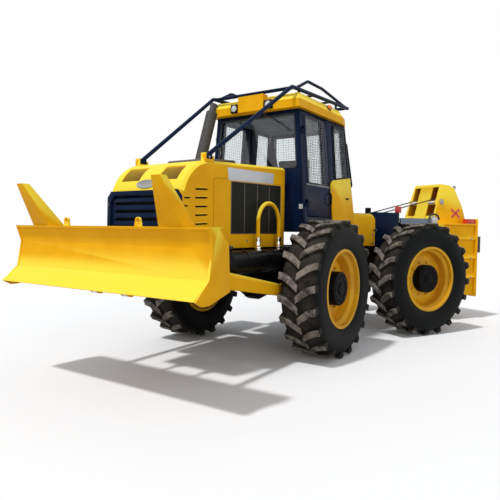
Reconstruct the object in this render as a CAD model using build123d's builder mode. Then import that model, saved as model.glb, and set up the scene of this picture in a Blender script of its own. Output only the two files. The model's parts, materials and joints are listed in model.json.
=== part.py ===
from build123d import *
import os
from math import asin, atan2, cos, degrees, hypot, sin, sqrt, tan

# Articulated log skidder, in millimetres. X points forward, Y to the machine's left, Z up from the floor.
# Everything is drawn with the machine straight and X = 0 at the front axle. The rear half is then swung
# about the steering pivot by BEND, and the whole machine is moved so that the origin is the middle of its
# footprint.
ORIGIN_X = 847.0
ORIGIN_Y = -395.0
BEND = -27.0

# Wheels and axles
TYRE_R = 790.0
TYRE_HALF = 235.0
CARCASS_R = 748.0
RIM_R = 455.0
RIM_HALF = 205.0
BEAD_SEAT_R = 432.0
FLANGE_WALL = 10.0
RIM_WALL = 12.0
HUB_R = 195.0
HUB_OUTER = 175.0
HUB_INNER = -85.0
SPINDLE_R = 60.0
SPINDLE_END = 80.0
TRACK_HALF = 1015.0
LUGS_PER_ROW = 20
LUG_ROOT_R = 690.0
LUG_TAPER = 6.0
LUG_LEAD = 104.0
FRONT_AXLE_X = 0.0
PIVOT_X = -1340.0
REAR_AXLE_X = -2630.0
AXLE_TUBE_R = 110.0
AXLE_BULGE_R = 215.0

# Clearances
SEAT_GAP = 0.3
RUN_GAP = 0.05
SIDE_GAP = 6.0

# Front frame
FRAME_HALF = 310.0
FRAME_WALL = 30.0
FRAME_TOP = 1240.0
FRAME_OVER_AXLE = 935.0
FRAME_BOTTOM = 640.0
FRAME_FRONT = 1880.0
FRAME_REAR = -1050.0
PIVOT_EAR_HALF = 150.0
PIVOT_PIN_R = 40.0
EAR_THICK = 32.0
EAR_LEVELS = (712.0, 1166.0)

# Blade, its arms and its lift cylinders
ARM_PIVOT_X = 500.0
ARM_PIVOT_Z = 780.0
ARM_PIN_R = 35.0
ARM_INNER = 690.0
ARM_OUTER = 750.0
BLADE_HALF = 1231.0
BLADE_PLATE = 22.0
BLADE_TOP = (2480.0, 1470.0)
BLADE_KINK_HIGH = (2433.0, 1313.0)
BLADE_KINK_LOW = (2478.0, 1069.0)
BLADE_TIP = (2650.0, 930.0)
HORN_WALL = 20.0
HORN_LEVELS = (  # height and lead over the blade's top edge, then middle, half width and depth
    (0.0, 0.0, 832.0, 128.0, 170.0),
    (385.0, 205.0, 868.0, 47.0, 76.0),
)
HOOK_Y = 464.0
HOOK_Z = 1518.0
HOOK_THICK = 24.0
HOOK_HOLE_R = 16.0
LIFT_Y = 200.0
LIFT_FOOT = (1250.0, 1150.0)
LIFT_EYE = (2330.0, 905.0)
LIFT_PIN_R = 25.0
LIFT_BARREL_R = 50.0
LIFT_ROD_R = 26.0
LIFT_BARREL_LENGTH = 690.0
LIFT_ROD_LENGTH = 780.0
BORE_START = 110.0

# Steering cylinders
STEER_Z = 940.0
STEER_FOOT = (-350.0, 500.0)
STEER_EYE = (-1440.0, 400.0)
STEER_PIN_R = 22.0
STEER_BARREL_R = 42.0
STEER_ROD_R = 22.0
STEER_BARREL_LENGTH = 720.0
STEER_ROD_LENGTH = 695.0
EYE_R = 52.0
EYE_HALF = 28.0
CHEEK_WALL = 18.0

# Hood
HOOD_HALF = 480.0
HOOD_REAR = 120.0
HOOD_BOTTOM = 1260.0
HOOD_REAR_TOP = 2190.0
HOOD_BREAK = (1545.0, 2115.8)
HOOD_NOSE_TOP = (1938.0, 1815.0)
HOOD_NOSE_BOTTOM = (1950.0, 1260.0)
HOOD_WALL = 20.0
NOSE_RIM = 45.0
VENT_FRONT = 1892.0
VENT_REAR = 1745.0
VENT_INNER = 120.0
VENT_OUTER = 370.0
SCREEN = (215.0, 1195.0, 1410.0, 1940.0)
SCREEN_RISE = 24.0

# Cab
CAB_FLOOR = 1430.0
CAB_TOP = 2900.0
CAB_FRONT_LOW = 60.0
CAB_FRONT_HIGH = 25.0
CAB_REAR_LOW = -1480.0
CAB_REAR_HIGH = -1300.0
CAB_HALF_LOW = 720.0
CAB_HALF_HIGH = 605.0
CAB_WALL = 55.0
DOOR_FRONT = -45.0
DOOR_REAR = -690.0
DOOR_BOTTOM = 1625.0
DOOR_TOP = 2865.0
DOOR_GAP = 10.0
DOOR_REAR_STILE = 120.0
DOOR_FRONT_STILE = 65.0
DOOR_HEAD_RAIL = 25.0
HINGE_LEVELS = (1780.0, 2660.0)
HINGE_R = 14.0
HINGE_PIN_R = 8.0
HINGE_LENGTH = 44.0
HINGE_STAND_OFF = 20.0
SILL = 2030.0
GLASS = 12.0
ROOF_TOP = 3085.0

# Roof guard
GUARD_TUBE_R = 23.0
GUARD_FRONT = (155.0, 580.0, 3125.0)
GUARD_REAR_X = -1440.0
GUARD_REAR_Z = 3185.0
RISER_FOOT = (1545.0, 445.0, 2165.0)

# Rear half
REAR_HALF = 345.0
REAR_WALL = 28.0
REAR_NOSE_X = -1590.0
REAR_BOTTOM = 640.0
REAR_TOP = 1230.0
DECK_Z = 1590.0
WINCH_FRONT = -1920.0
WINCH_REAR = -2350.0
WINCH_TOP = 1710.0
WINCH_HALF = 375.0
DRUM_X = -2150.0
DRUM_Z = 1480.0
DRUM_R = 120.0
CABLE_Y = 150.0
CABLE_R = 9.0
TOWER_HALF_LOW = 346.0
TOWER_HALF_HIGH = 279.0
TOWER_PLATE = 25.0
ROLLER_X = -3845.0
ROLLER_Z = 1950.0
ROLLER_R = 42.0
SHIELD_FRONT = -3640.0
SHIELD_REAR = -4400.0
SHIELD_HALF = 560.0
SHIELD_BOTTOM = 380.0
SHIELD_PLATE = 30.0
HITCH_Z = 640.0
HITCH_REACH = 80.0
HITCH_HOLE_R = 19.0

os.makedirs("parts", exist_ok=True)
FRONT = Location((ORIGIN_X, ORIGIN_Y, 0))
REAR = FRONT * Pos(PIVOT_X, 0, 0) * Rot(0, 0, BEND) * Pos(-PIVOT_X, 0, 0)


def save(piece, label, place=FRONT):
    """Set a finished piece in its place on the machine, label it and write it."""
    piece.part = piece.part.moved(place)
    piece.part.label = label
    export_step(piece.part, f"parts/{label}.step")


def side(y):
    """Upright plane along the machine, y to its left. Extruding from it goes to the right."""
    return Plane.XZ.offset(-y)


def slab(x_range, y_range, z_range, mode=Mode.ADD):
    """A straight block between two limits on each axis."""
    size = [high - low for low, high in (x_range, y_range, z_range)]
    middle = [(high + low) / 2 for low, high in (x_range, y_range, z_range)]
    with Locations(tuple(middle)):
        Box(*size, mode=mode)


def rod(start, end, radius, mode=Mode.ADD):
    """A round bar between two points."""
    line = Vector(*end) - Vector(*start)
    with BuildSketch(Plane(origin=start, z_dir=line)) as end_face:
        Circle(radius)
    extrude(end_face.sketch, amount=line.length, mode=mode)


def pipe(points, bend, radius):
    """A round tube along straight runs joined by bends."""
    with BuildLine() as route:
        FilletPolyline(*points, radius=bend)
    with BuildSketch(Plane(origin=route.line @ 0, z_dir=route.line % 0)) as section:
        Circle(radius)
    sweep(section.sketch, path=route.line)


# Tyre: the wheel's axle is local Z and its outer face looks along +Z
carcass_half = [
    (BEAD_SEAT_R + SEAT_GAP, RIM_HALF - FLANGE_WALL - SEAT_GAP),
    (RIM_R + 3, RIM_HALF - FLANGE_WALL - SEAT_GAP),
    (RIM_R + 28, TYRE_HALF - 22),
    (570.0, TYRE_HALF),
    (655.0, TYRE_HALF - 4),
    (718.0, TYRE_HALF - 22),
    (CARCASS_R - 4, 140.0),
    (CARCASS_R, 0.0),
]
carcass = carcass_half + [(r, -z) for r, z in reversed(carcass_half[:-1])]
lug_outline = [(116, -14), (32, -14), (-70, 105), (-106, 229), (-24, 229), (18, 118)]
with BuildPart() as lug:
    with BuildSketch(Plane(origin=(LUG_ROOT_R, 0, 0), x_dir=(0, 1, 0), z_dir=(1, 0, 0))):
        Polygon(*lug_outline, align=None)
    extrude(amount=sqrt(TYRE_R**2 - LUG_LEAD**2) - LUG_ROOT_R, taper=LUG_TAPER)
with BuildPart() as tyre:
    with BuildSketch(Plane.XZ):
        Polygon(*carcass, align=None)
    revolve(axis=Axis.Z)
    with PolarLocations(0, LUGS_PER_ROW):
        add(lug.part)
    half_pitch = 180.0 / LUGS_PER_ROW
    inner_lug = mirror(lug.part, about=Plane.XY, mode=Mode.PRIVATE)
    with PolarLocations(0, LUGS_PER_ROW, start_angle=half_pitch):
        add(inner_lug)

# Wheel: a drop-centre rim, a dished disc and the planetary hub with the bore for its spindle
rim_half = [(RIM_R, RIM_HALF), (RIM_R, RIM_HALF - FLANGE_WALL), (BEAD_SEAT_R, RIM_HALF - FLANGE_WALL),
            (BEAD_SEAT_R, 140.0), (400.0, 108.0)]
rim_inside = [(r - RIM_WALL, z) for r, z in ((400.0, 118.0), (BEAD_SEAT_R, 152.0), (BEAD_SEAT_R, RIM_HALF))]
rim_ring = (rim_half + [(r, -z) for r, z in reversed(rim_half)]
            + [(r, -z) for r, z in reversed(rim_inside)] + rim_inside)
disc = [(392.0, -14.0), (392.0, 4.0), (300.0, 44.0), (150.0, 44.0), (150.0, 26.0), (296.0, 26.0)]
hub = [(0, HUB_INNER), (HUB_R - 15, HUB_INNER), (HUB_R, HUB_INNER + 15), (HUB_R, HUB_OUTER - 25),
       (HUB_R - 25, HUB_OUTER), (0, HUB_OUTER)]
with BuildPart() as wheel:
    with BuildSketch(Plane.XZ):
        Polygon(*rim_ring, align=None)
        Polygon(*disc, align=None)
        Polygon(*hub, align=None)
    revolve(axis=Axis.Z)
    with BuildSketch(Plane.XY.offset(HUB_INNER)):
        Circle(SPINDLE_R + RUN_GAP)
    extrude(amount=SPINDLE_END - HUB_INNER + SIDE_GAP, mode=Mode.SUBTRACT)

wheel_places = {
    "front_left": (FRONT, FRONT_AXLE_X, 1),
    "front_right": (FRONT, FRONT_AXLE_X, -1),
    "rear_left": (REAR, REAR_AXLE_X, 1),
    "rear_right": (REAR, REAR_AXLE_X, -1),
}
for corner, (half, axle_x, hand) in wheel_places.items():
    centre = half * Pos(axle_x, hand * TRACK_HALF, TYRE_R)
    with BuildPart() as fitted_tyre:
        add(tyre.part.moved(Rot(-90, 0, 0)))
    save(fitted_tyre, f"tyre_{corner}", centre)
    with BuildPart() as fitted_wheel:
        add(wheel.part.moved(Rot(-90 * hand, 0, 0)))
    save(fitted_wheel, f"wheel_{corner}", centre)


def axle(x, seat_top, seat_half):
    """Axle housing with its differential, end flanges, spindles and the two seats under the frame plates."""
    end = TRACK_HALF + HUB_INNER - SIDE_GAP
    half_profile = [(AXLE_BULGE_R, 60), (AXLE_BULGE_R - 70, 190), (AXLE_TUBE_R, 260), (AXLE_TUBE_R, end - 60),
                    (AXLE_TUBE_R + 45, end - 45), (AXLE_TUBE_R + 45, end), (SPINDLE_R, end),
                    (SPINDLE_R, TRACK_HALF + SPINDLE_END), (0, TRACK_HALF + SPINDLE_END)]
    profile = half_profile + [(r, -y) for r, y in reversed(half_profile)]
    with BuildPart() as housing:
        with BuildSketch(Plane(origin=(x, 0, TYRE_R))):
            Polygon(*profile, align=None)
        revolve(axis=Axis((x, 0, TYRE_R), (0, 1, 0)))
        for hand in (1, -1):
            inner, outer = sorted((hand * (seat_half - FRAME_WALL), hand * seat_half))
            slab((x - 100, x + 100), (inner, outer), (TYRE_R, seat_top))
    return housing


save(axle(FRONT_AXLE_X, FRAME_OVER_AXLE, FRAME_HALF), "front_axle")
save(axle(REAR_AXLE_X, FRAME_OVER_AXLE, REAR_HALF), "rear_axle", REAR)

# Front frame: two deep side plates, cross members, the forked ears of the steering pivot and cylinder seats
frame_outline = [
    (FRAME_REAR, FRAME_BOTTOM), (-330, FRAME_BOTTOM), (-210, FRAME_OVER_AXLE), (210, FRAME_OVER_AXLE),
    (380, 690), (640, 690), (720, 900), (1330, 940), (FRAME_FRONT, 1090), (FRAME_FRONT, FRAME_TOP),
    (FRAME_REAR, FRAME_TOP),
]
lift_span = FRAME_HALF - FRAME_WALL
with BuildPart() as front_frame:
    for hand in (1, -1):
        with BuildSketch(side(hand * FRAME_HALF)):
            Polygon(*frame_outline, align=None)
        extrude(amount=hand * FRAME_WALL)
    slab((FRAME_REAR, FRAME_REAR + 40), (-lift_span, lift_span), (FRAME_BOTTOM, FRAME_TOP))
    slab((FRAME_REAR, -330), (-lift_span, lift_span), (FRAME_BOTTOM, FRAME_BOTTOM + 25))
    slab((-700, -640), (-lift_span, lift_span), (FRAME_TOP - 160, FRAME_TOP))
    slab((FRAME_FRONT - 50, FRAME_FRONT), (-lift_span, lift_span), (FRAME_TOP - 32, FRAME_TOP))
    for level in EAR_LEVELS:
        for step in (-1, 1):
            middle = level + step * (EAR_THICK + SIDE_GAP / 2)
            with BuildSketch(Plane.XY.offset(middle - EAR_THICK / 2)):
                with Locations((PIVOT_X, 0)):
                    Circle(PIVOT_EAR_HALF)
                Polygon((PIVOT_X, -PIVOT_EAR_HALF), (FRAME_REAR, -lift_span), (FRAME_REAR, lift_span),
                        (PIVOT_X, PIVOT_EAR_HALF), align=None)
            extrude(amount=EAR_THICK)
    # pivot pins through each fork, and the pins that carry the blade arms and the lift cylinders
    for level in EAR_LEVELS:
        rod((PIVOT_X, 0, level - 2 * EAR_THICK), (PIVOT_X, 0, level + 2 * EAR_THICK), PIVOT_PIN_R)
    for hand in (1, -1):
        arm_root = (ARM_PIVOT_X, hand * FRAME_HALF, ARM_PIVOT_Z)
        rod(arm_root, (ARM_PIVOT_X, hand * (ARM_INNER - SIDE_GAP), ARM_PIVOT_Z), ARM_PIN_R + 30)
        rod(arm_root, (ARM_PIVOT_X, hand * (ARM_OUTER + 12), ARM_PIVOT_Z), ARM_PIN_R)
    rod((LIFT_FOOT[0], -lift_span, LIFT_FOOT[1]), (LIFT_FOOT[0], lift_span, LIFT_FOOT[1]), LIFT_PIN_R)
    # cheeks for the feet of the steering cylinders
    for hand in (1, -1):
        foot_y = hand * STEER_FOOT[1]
        for level in (STEER_Z - EYE_HALF - SIDE_GAP / 2 - CHEEK_WALL, STEER_Z + EYE_HALF + SIDE_GAP / 2):
            with BuildSketch(Plane.XY.offset(level)):
                with Locations((STEER_FOOT[0], foot_y)):
                    Circle(EYE_R)
                Polygon((STEER_FOOT[0] - 90, hand * FRAME_HALF), (STEER_FOOT[0] - EYE_R, foot_y),
                        (STEER_FOOT[0] + EYE_R, foot_y), (STEER_FOOT[0] + 90, hand * FRAME_HALF), align=None)
            extrude(amount=CHEEK_WALL)
        rod((STEER_FOOT[0], foot_y, STEER_Z - EYE_HALF - CHEEK_WALL), (STEER_FOOT[0], foot_y,
            STEER_Z + EYE_HALF + CHEEK_WALL), STEER_PIN_R)
    # cab mounts and the hood's posts
    for hand in (1, -1):
        for x in (-980, -60):
            inner, outer = sorted((hand * (FRAME_HALF - 90), hand * FRAME_HALF))
            slab((x - 60, x + 60), (inner, outer), (FRAME_TOP, CAB_FLOOR))
        for x in (300, 1700):
            inner, outer = sorted((hand * (FRAME_HALF - 60), hand * (HOOD_HALF - HOOD_WALL)))
            slab((x - 40, x + 40), (inner, outer), (FRAME_TOP - 40, HOOD_BOTTOM))
save(front_frame, "front_frame")

# Engine: one plain block between the frame plates
with BuildPart() as engine:
    slab((350, 1120), (-260, 260), (960, 1760))
    for hand in (1, -1):
        inner, outer = sorted((hand * 260, hand * lift_span))
        slab((600, 720), (inner, outer), (1100, 1180))
save(engine, "engine_block")

# Hood: one folded shell, open below and at the nose, with side screens, slope vents, louvre slots and the
# upright lugs that hold the limb guard's feet
with BuildSketch() as hood_profile:
    with BuildLine():
        Polyline(HOOD_BREAK, (HOOD_REAR, HOOD_REAR_TOP), (HOOD_REAR, HOOD_BOTTOM), HOOD_NOSE_BOTTOM,
                 HOOD_NOSE_TOP)
        TangentArc(HOOD_BREAK, HOOD_NOSE_TOP,
                   tangent=(HOOD_BREAK[0] - HOOD_REAR, HOOD_BREAK[1] - HOOD_REAR_TOP))
    make_face()
hood_rise = (HOOD_REAR_TOP - HOOD_BREAK[1]) / (HOOD_BREAK[0] - HOOD_REAR)
hood_tilt = degrees(atan2(HOOD_BREAK[1] - HOOD_REAR_TOP, HOOD_BREAK[0] - HOOD_REAR))
screen_outline = [(SCREEN[0], SCREEN[2]), (SCREEN[1], SCREEN[2]), (SCREEN[1], SCREEN[3]),
                  (SCREEN[0], SCREEN[3] + SCREEN_RISE)]
LOUVRE_HEIGHT = 18.0
louvres = [  # middle of the slot along the hood, its height and its length
    (1665.0, 1831.0, 188.0), (1665.0, 1749.0, 188.0), (1665.0, 1667.0, 188.0), (1665.0, 1586.0, 188.0),
    (1665.0, 1502.0, 188.0), (1868.0, 1739.0, 88.0), (1885.0, 1664.0, 54.0),
]
LUG_WALL = 12.0
LUG_HALF = 30.0
LUG_SEAT = 2128.0
lug_rear = RISER_FOOT[0] - 70
lug_front = RISER_FOOT[0] + 60
with BuildPart() as hood:
    with BuildSketch(Plane.XZ):
        add(hood_profile.sketch)
    extrude(amount=HOOD_HALF, both=True)
    # the chamfer runs on from each curve along the top edge that meets it
    chamfer(hood.edges().filter_by(GeomType.CIRCLE), 28)
    with BuildSketch(Plane.XZ):
        offset(hood_profile.sketch, amount=-HOOD_WALL)
    extrude(amount=HOOD_HALF - HOOD_WALL, both=True, mode=Mode.SUBTRACT)
    slab((HOOD_REAR + HOOD_WALL, HOOD_NOSE_BOTTOM[0] - HOOD_WALL),
         (-HOOD_HALF + HOOD_WALL, HOOD_HALF - HOOD_WALL), (HOOD_BOTTOM - 1, HOOD_BOTTOM + HOOD_WALL + 1),
         mode=Mode.SUBTRACT)
    slab((HOOD_NOSE_TOP[0] - 45, HOOD_NOSE_BOTTOM[0] + 10), (-HOOD_HALF + NOSE_RIM, HOOD_HALF - NOSE_RIM),
         (HOOD_BOTTOM + NOSE_RIM, HOOD_NOSE_TOP[1] - NOSE_RIM), mode=Mode.SUBTRACT)
    with BuildSketch(Plane.XZ):
        Polygon(*screen_outline, align=None)
        for middle, height, length in louvres:
            with Locations((middle, height)):
                Rectangle(length, LOUVRE_HEIGHT, rotation=hood_tilt)
    extrude(amount=HOOD_HALF + 1, both=True, mode=Mode.SUBTRACT)
    for hand in (1, -1):
        inner, outer = sorted((hand * VENT_INNER, hand * VENT_OUTER))
        slab((VENT_REAR, VENT_FRONT), (inner, outer), (HOOD_NOSE_TOP[1] + 25, HOOD_BREAK[1]),
             mode=Mode.SUBTRACT)
        inner, outer = sorted((hand * (RISER_FOOT[1] - LUG_HALF), hand * (RISER_FOOT[1] + LUG_HALF)))
        slab((lug_rear, lug_front), (inner, outer), (HOOD_BREAK[1] - 14, LUG_SEAT))
        slab((lug_rear, lug_rear + LUG_WALL), (inner, outer), (HOOD_BREAK[1] - 14, RISER_FOOT[2]))
        slab((lug_front - LUG_WALL, lug_front), (inner, outer), (HOOD_BREAK[1] - 14, RISER_FOOT[2] + 20))
save(hood, "hood")

# Grille: a deep frame with chamfered top corners over the whole nose, closed by thick slanted slats
GRILLE_DEPTH = 36.0
GRILLE_BORDER = 46.0
GRILLE_CORNER = (50.0, 58.0)
SLATS = 6
nose_lean = atan2(HOOD_NOSE_BOTTOM[0] - HOOD_NOSE_TOP[0], HOOD_NOSE_TOP[1] - HOOD_NOSE_BOTTOM[1])
nose_plane = Plane(origin=(HOOD_NOSE_BOTTOM[0], 0, HOOD_NOSE_BOTTOM[1]), x_dir=(0, 1, 0),
                   z_dir=(cos(nose_lean), 0, sin(nose_lean)))
grille_top = (HOOD_NOSE_TOP[1] - HOOD_NOSE_BOTTOM[1]) / cos(nose_lean) - 3


def grille_outline(border):
    """The grille's outline on the nose, drawn in by a border."""
    half = HOOD_HALF - border
    top = grille_top - border
    shoulder = half - GRILLE_CORNER[0]
    return [(-half, 3 + border), (half, 3 + border), (half, top - GRILLE_CORNER[1]), (shoulder, top),
            (-shoulder, top), (-half, top - GRILLE_CORNER[1])]


with BuildPart() as grille:
    with BuildSketch(nose_plane):
        Polygon(*grille_outline(0.0), align=None)
        Polygon(*grille_outline(GRILLE_BORDER), align=None, mode=Mode.SUBTRACT)
    extrude(amount=GRILLE_DEPTH)
    slat_pitch = (grille_top - 3 - 2 * GRILLE_BORDER) / SLATS
    with BuildSketch(Plane.XZ):
        for row in range(SLATS):
            low = HOOD_NOSE_BOTTOM[1] + GRILLE_BORDER + (row + 0.22) * slat_pitch
            back = HOOD_NOSE_BOTTOM[0] - (low - HOOD_NOSE_BOTTOM[1]) * tan(nose_lean) + 2
            Polygon((back, low + 34), (back + 26, low), (back + 26, low + 24), (back, low + 58), align=None)
    extrude(amount=HOOD_HALF - GRILLE_BORDER - GRILLE_CORNER[0] + 1, both=True)
    with BuildSketch(nose_plane.offset(2)):
        for hand in (1, -1):
            with Locations((hand * (HOOD_HALF - GRILLE_BORDER - GRILLE_CORNER[0] / 2), grille_top / 2)):
                Rectangle(GRILLE_CORNER[0] + 2, grille_top - 2 * GRILLE_CORNER[1] - GRILLE_BORDER)
    extrude(amount=10)
save(grille, "front_grille")

# Screens: perforated-sheet panels in the hood's sides, set in from the outer face
with BuildPart() as screens:
    for hand in (1, -1):
        with BuildSketch(side(hand * (HOOD_HALF - 4))):
            Polygon(*screen_outline, align=None)
        extrude(amount=hand * 12)
save(screens, "hood_screens")

# Air intake cover on the hood and the exhaust stack with its shield
def hood_top(x):
    """Height of the hood's flat top at a distance ahead of the front axle."""
    return HOOD_BREAK[1] + hood_rise * (HOOD_BREAK[0] - x)


with BuildPart() as hood_cover:
    with BuildSketch(Plane.XZ):
        Polygon((1400, hood_top(1400)), (1350, hood_top(1350) + 48), (820, hood_top(820) + 60),
                (760, hood_top(760)), align=None)
    extrude(amount=270, both=True)
    chamfer(hood_cover.edges().filter_by(Axis.X, reverse=True).filter_by(
        lambda e: abs(abs(e.center().Y) - 270) < 1 and e.center().Z > hood_top(e.center().X) + 20), 30)
save(hood_cover, "hood_cover")

STACK_FOOT = (660.0, -400.0, 2170.0)
STACK_HEAD = (380.0, -400.0, 2980.0)
with BuildPart() as exhaust:
    rod((STACK_FOOT[0], STACK_FOOT[1], hood_top(STACK_FOOT[0])), STACK_HEAD, 42)
    up = Vector(*STACK_HEAD) - Vector(*STACK_FOOT)
    rod(tuple(Vector(*STACK_FOOT) + up * 0.12), tuple(Vector(*STACK_FOOT) + up * 0.88), 62)
    split(bisect_by=Plane.XY.offset(hood_top(STACK_FOOT[0] - 40) + SEAT_GAP), keep=Keep.TOP)
save(exhaust, "exhaust_stack")


def cab_solid(low, high, inset, mode=Mode.ADD):
    """The cab's tapering block between two heights, drawn in by an inset all round."""
    faces = []
    for z in (low, high):
        share = (z - CAB_FLOOR) / (CAB_TOP - CAB_FLOOR)
        front = CAB_FRONT_LOW + share * (CAB_FRONT_HIGH - CAB_FRONT_LOW) - inset
        rear = CAB_REAR_LOW + share * (CAB_REAR_HIGH - CAB_REAR_LOW) + inset
        half = CAB_HALF_LOW + share * (CAB_HALF_HIGH - CAB_HALF_LOW) - inset
        with BuildSketch(Plane.XY.offset(z)) as level:
            with Locations(((front + rear) / 2, 0)):
                Rectangle(front - rear, 2 * half)
        faces.append(level.sketch)
    loft(faces, mode=mode)


def window_cutters(mode):
    """Prisms through the front, rear and rear quarter windows."""
    with BuildSketch(Plane.YZ.offset(CAB_FRONT_HIGH - 200)) as front_pane:
        Polygon((-590, 2200), (590, 2200), (540, 2845), (-540, 2845), align=None)
    extrude(front_pane.sketch, amount=400, mode=mode)
    with BuildSketch(Plane.YZ.offset(CAB_REAR_HIGH + 200)) as rear_pane:
        Polygon((-560, 2080), (560, 2080), (520, 2830), (-520, 2830), align=None)
    extrude(rear_pane.sketch, amount=-400, mode=mode)
    with BuildSketch(Plane.XZ) as quarter_pane:
        Polygon((-885, 2135), (-1285, 2195), (-1245, 2850), (-885, 2850), align=None)
    extrude(quarter_pane.sketch, amount=1000, both=True, mode=mode)


# Cab: a hollow tapering shell with its windows and two door openings cut
door_panel = [(DOOR_REAR, DOOR_BOTTOM), (DOOR_FRONT, DOOR_BOTTOM), (DOOR_FRONT, DOOR_TOP),
              (DOOR_REAR, DOOR_TOP)]
pane_rear = DOOR_REAR + DOOR_REAR_STILE
pane_front = DOOR_FRONT - DOOR_FRONT_STILE
pane_top = DOOR_TOP - DOOR_HEAD_RAIL
door_window = [(pane_rear, SILL), (pane_front, SILL), (pane_front, pane_top), (pane_rear, pane_top)]


def cab_half(z):
    """Half width of the cab over its outer faces at a height."""
    return CAB_HALF_LOW + (z - CAB_FLOOR) / (CAB_TOP - CAB_FLOOR) * (CAB_HALF_HIGH - CAB_HALF_LOW)


def hinge_at(hand, z):
    """A point on the door's hinge axis, which leans with the side of the cab."""
    return Vector(DOOR_FRONT + DOOR_GAP / 2, hand * (cab_half(z) + HINGE_STAND_OFF), z)


def hinge_leaf(hand, z, ahead):
    """The strap from a knuckle to the pillar ahead of it or to the door behind it."""
    pillar = DOOR_FRONT + DOOR_GAP
    x_range = (pillar + 1, pillar + 45) if ahead else (DOOR_FRONT - 60, DOOR_FRONT)
    reach = (DOOR_FRONT + DOOR_GAP / 2, x_range[1]) if ahead else (x_range[0], DOOR_FRONT + DOOR_GAP / 2)
    inner, outer = sorted((hand * (cab_half(z) - 6), hand * (cab_half(z) + 6)))
    slab(x_range, (inner, outer), (z, z + HINGE_LENGTH))
    inner, outer = sorted((hand * (cab_half(z) + 6), hand * (cab_half(z) + HINGE_STAND_OFF)))
    slab(reach, (inner, outer), (z, z + HINGE_LENGTH))


with BuildPart() as cab_frame:
    cab_solid(CAB_FLOOR, CAB_TOP, 0)
    cab_solid(CAB_FLOOR + CAB_WALL, CAB_TOP, CAB_WALL, mode=Mode.SUBTRACT)
    window_cutters(Mode.SUBTRACT)
    with BuildSketch(Plane.XZ):
        offset(Polygon(*door_panel, align=None, mode=Mode.PRIVATE), amount=DOOR_GAP, kind=Kind.INTERSECTION)
    extrude(amount=1000, both=True, mode=Mode.SUBTRACT)
    for hand in (1, -1):
        for z in HINGE_LEVELS:
            low = z - HINGE_LENGTH - 2
            hinge_leaf(hand, low, True)
            rod(hinge_at(hand, low), hinge_at(hand, z - 2), HINGE_R)
            rod(hinge_at(hand, z - 3), hinge_at(hand, z + HINGE_LENGTH), HINGE_PIN_R)
save(cab_frame, "cab_frame")

with BuildPart() as glass_shell:
    cab_solid(CAB_FLOOR + 100, CAB_TOP, (CAB_WALL - GLASS) / 2)
    cab_solid(CAB_FLOOR + 100, CAB_TOP, (CAB_WALL + GLASS) / 2, mode=Mode.SUBTRACT)
with BuildPart() as cab_glass:
    window_cutters(Mode.ADD)
    add(glass_shell.part, mode=Mode.INTERSECT)
save(cab_glass, "cab_glass")

for hand, word in ((1, "left"), (-1, "right")):
    inner, outer = sorted((hand * 400, hand * 1000))
    with BuildPart() as door:
        cab_solid(CAB_FLOOR, CAB_TOP, 0)
        cab_solid(CAB_FLOOR, CAB_TOP, CAB_WALL, mode=Mode.SUBTRACT)
        slab((DOOR_REAR, DOOR_FRONT), (inner, outer), (DOOR_BOTTOM, DOOR_TOP), mode=Mode.INTERSECT)
        with BuildSketch(Plane.XZ):
            Polygon(*door_window, align=None)
        extrude(amount=1000, both=True, mode=Mode.SUBTRACT)
        for z in HINGE_LEVELS:
            hinge_leaf(hand, z, False)
            rod(hinge_at(hand, z), hinge_at(hand, z + HINGE_LENGTH), HINGE_R)
            rod(hinge_at(hand, z - 1), hinge_at(hand, z + HINGE_LENGTH + 1), HINGE_PIN_R + RUN_GAP,
                mode=Mode.SUBTRACT)
    save(door, f"cab_door_{word}")
    with BuildPart() as door_glass:
        cab_solid(CAB_FLOOR, CAB_TOP, (CAB_WALL - GLASS) / 2)
        cab_solid(CAB_FLOOR, CAB_TOP, (CAB_WALL + GLASS) / 2, mode=Mode.SUBTRACT)
        slab((pane_rear, pane_front), (inner, outer), (SILL, pane_top), mode=Mode.INTERSECT)
    save(door_glass, f"door_glass_{word}")

# Yellow lower panels outside the cab's rear quarters and the locker across its back
PANEL_THICK = 22.0
PANEL_FRONT = DOOR_REAR - 25
with BuildPart() as cab_panels:
    cab_solid(CAB_FLOOR + 15, 2200, -PANEL_THICK)
    cab_solid(CAB_FLOOR, 2210, 0, mode=Mode.SUBTRACT)
    with BuildSketch(Plane.XZ):
        Polygon((PANEL_FRONT, CAB_FLOOR), (PANEL_FRONT, 2030), (PANEL_FRONT - 20, 2078),
                (PANEL_FRONT - 68, 2110), (-1353, 2186), (-1445, CAB_FLOOR), align=None)
    extrude(amount=900, both=True, mode=Mode.INTERSECT)
    slab((-1520, -1380), (-500, 500), (1560, 2030))
    cab_solid(CAB_FLOOR, CAB_TOP, 0, mode=Mode.SUBTRACT)
save(cab_panels, "cab_panels")

# Roof: a lid with sloped edges and cut rear corners over the cab, with the raised box in its front edge
roof_levels = (  # height, front, start of the rear corners, rear, half width and half width at the rear
    (CAB_TOP, 130.0, -1120.0, -1310.0, 662.0, 607.0),
    (CAB_TOP + 95, 130.0, -1120.0, -1310.0, 658.0, 603.0),
    (ROOF_TOP, 40.0, -1090.0, -1250.0, 600.0, 560.0),
)
with BuildPart() as cab_roof:
    faces = []
    for z, front, corner, rear, half, rear_half in roof_levels:
        with BuildSketch(Plane.XY.offset(z)) as level:
            Polygon((front, -half), (front, half), (corner, half), (rear, rear_half), (rear, -rear_half),
                    (corner, -half), align=None)
        faces.append(level.sketch)
    loft(faces[:2])
    loft(faces[1:])
    slab((60, 165), (-185, 185), (CAB_TOP + 5, ROOF_TOP + 12))
save(cab_roof, "cab_roof")

LAMP_Y = 250.0
LAMP_HALF = 50.0
with BuildPart() as roof_lamps:
    for y in (-LAMP_Y, LAMP_Y):
        slab((130, 172), (y - LAMP_HALF, y + LAMP_HALF), (CAB_TOP + 15, CAB_TOP + 115))
save(roof_lamps, "roof_lamps")

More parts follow.
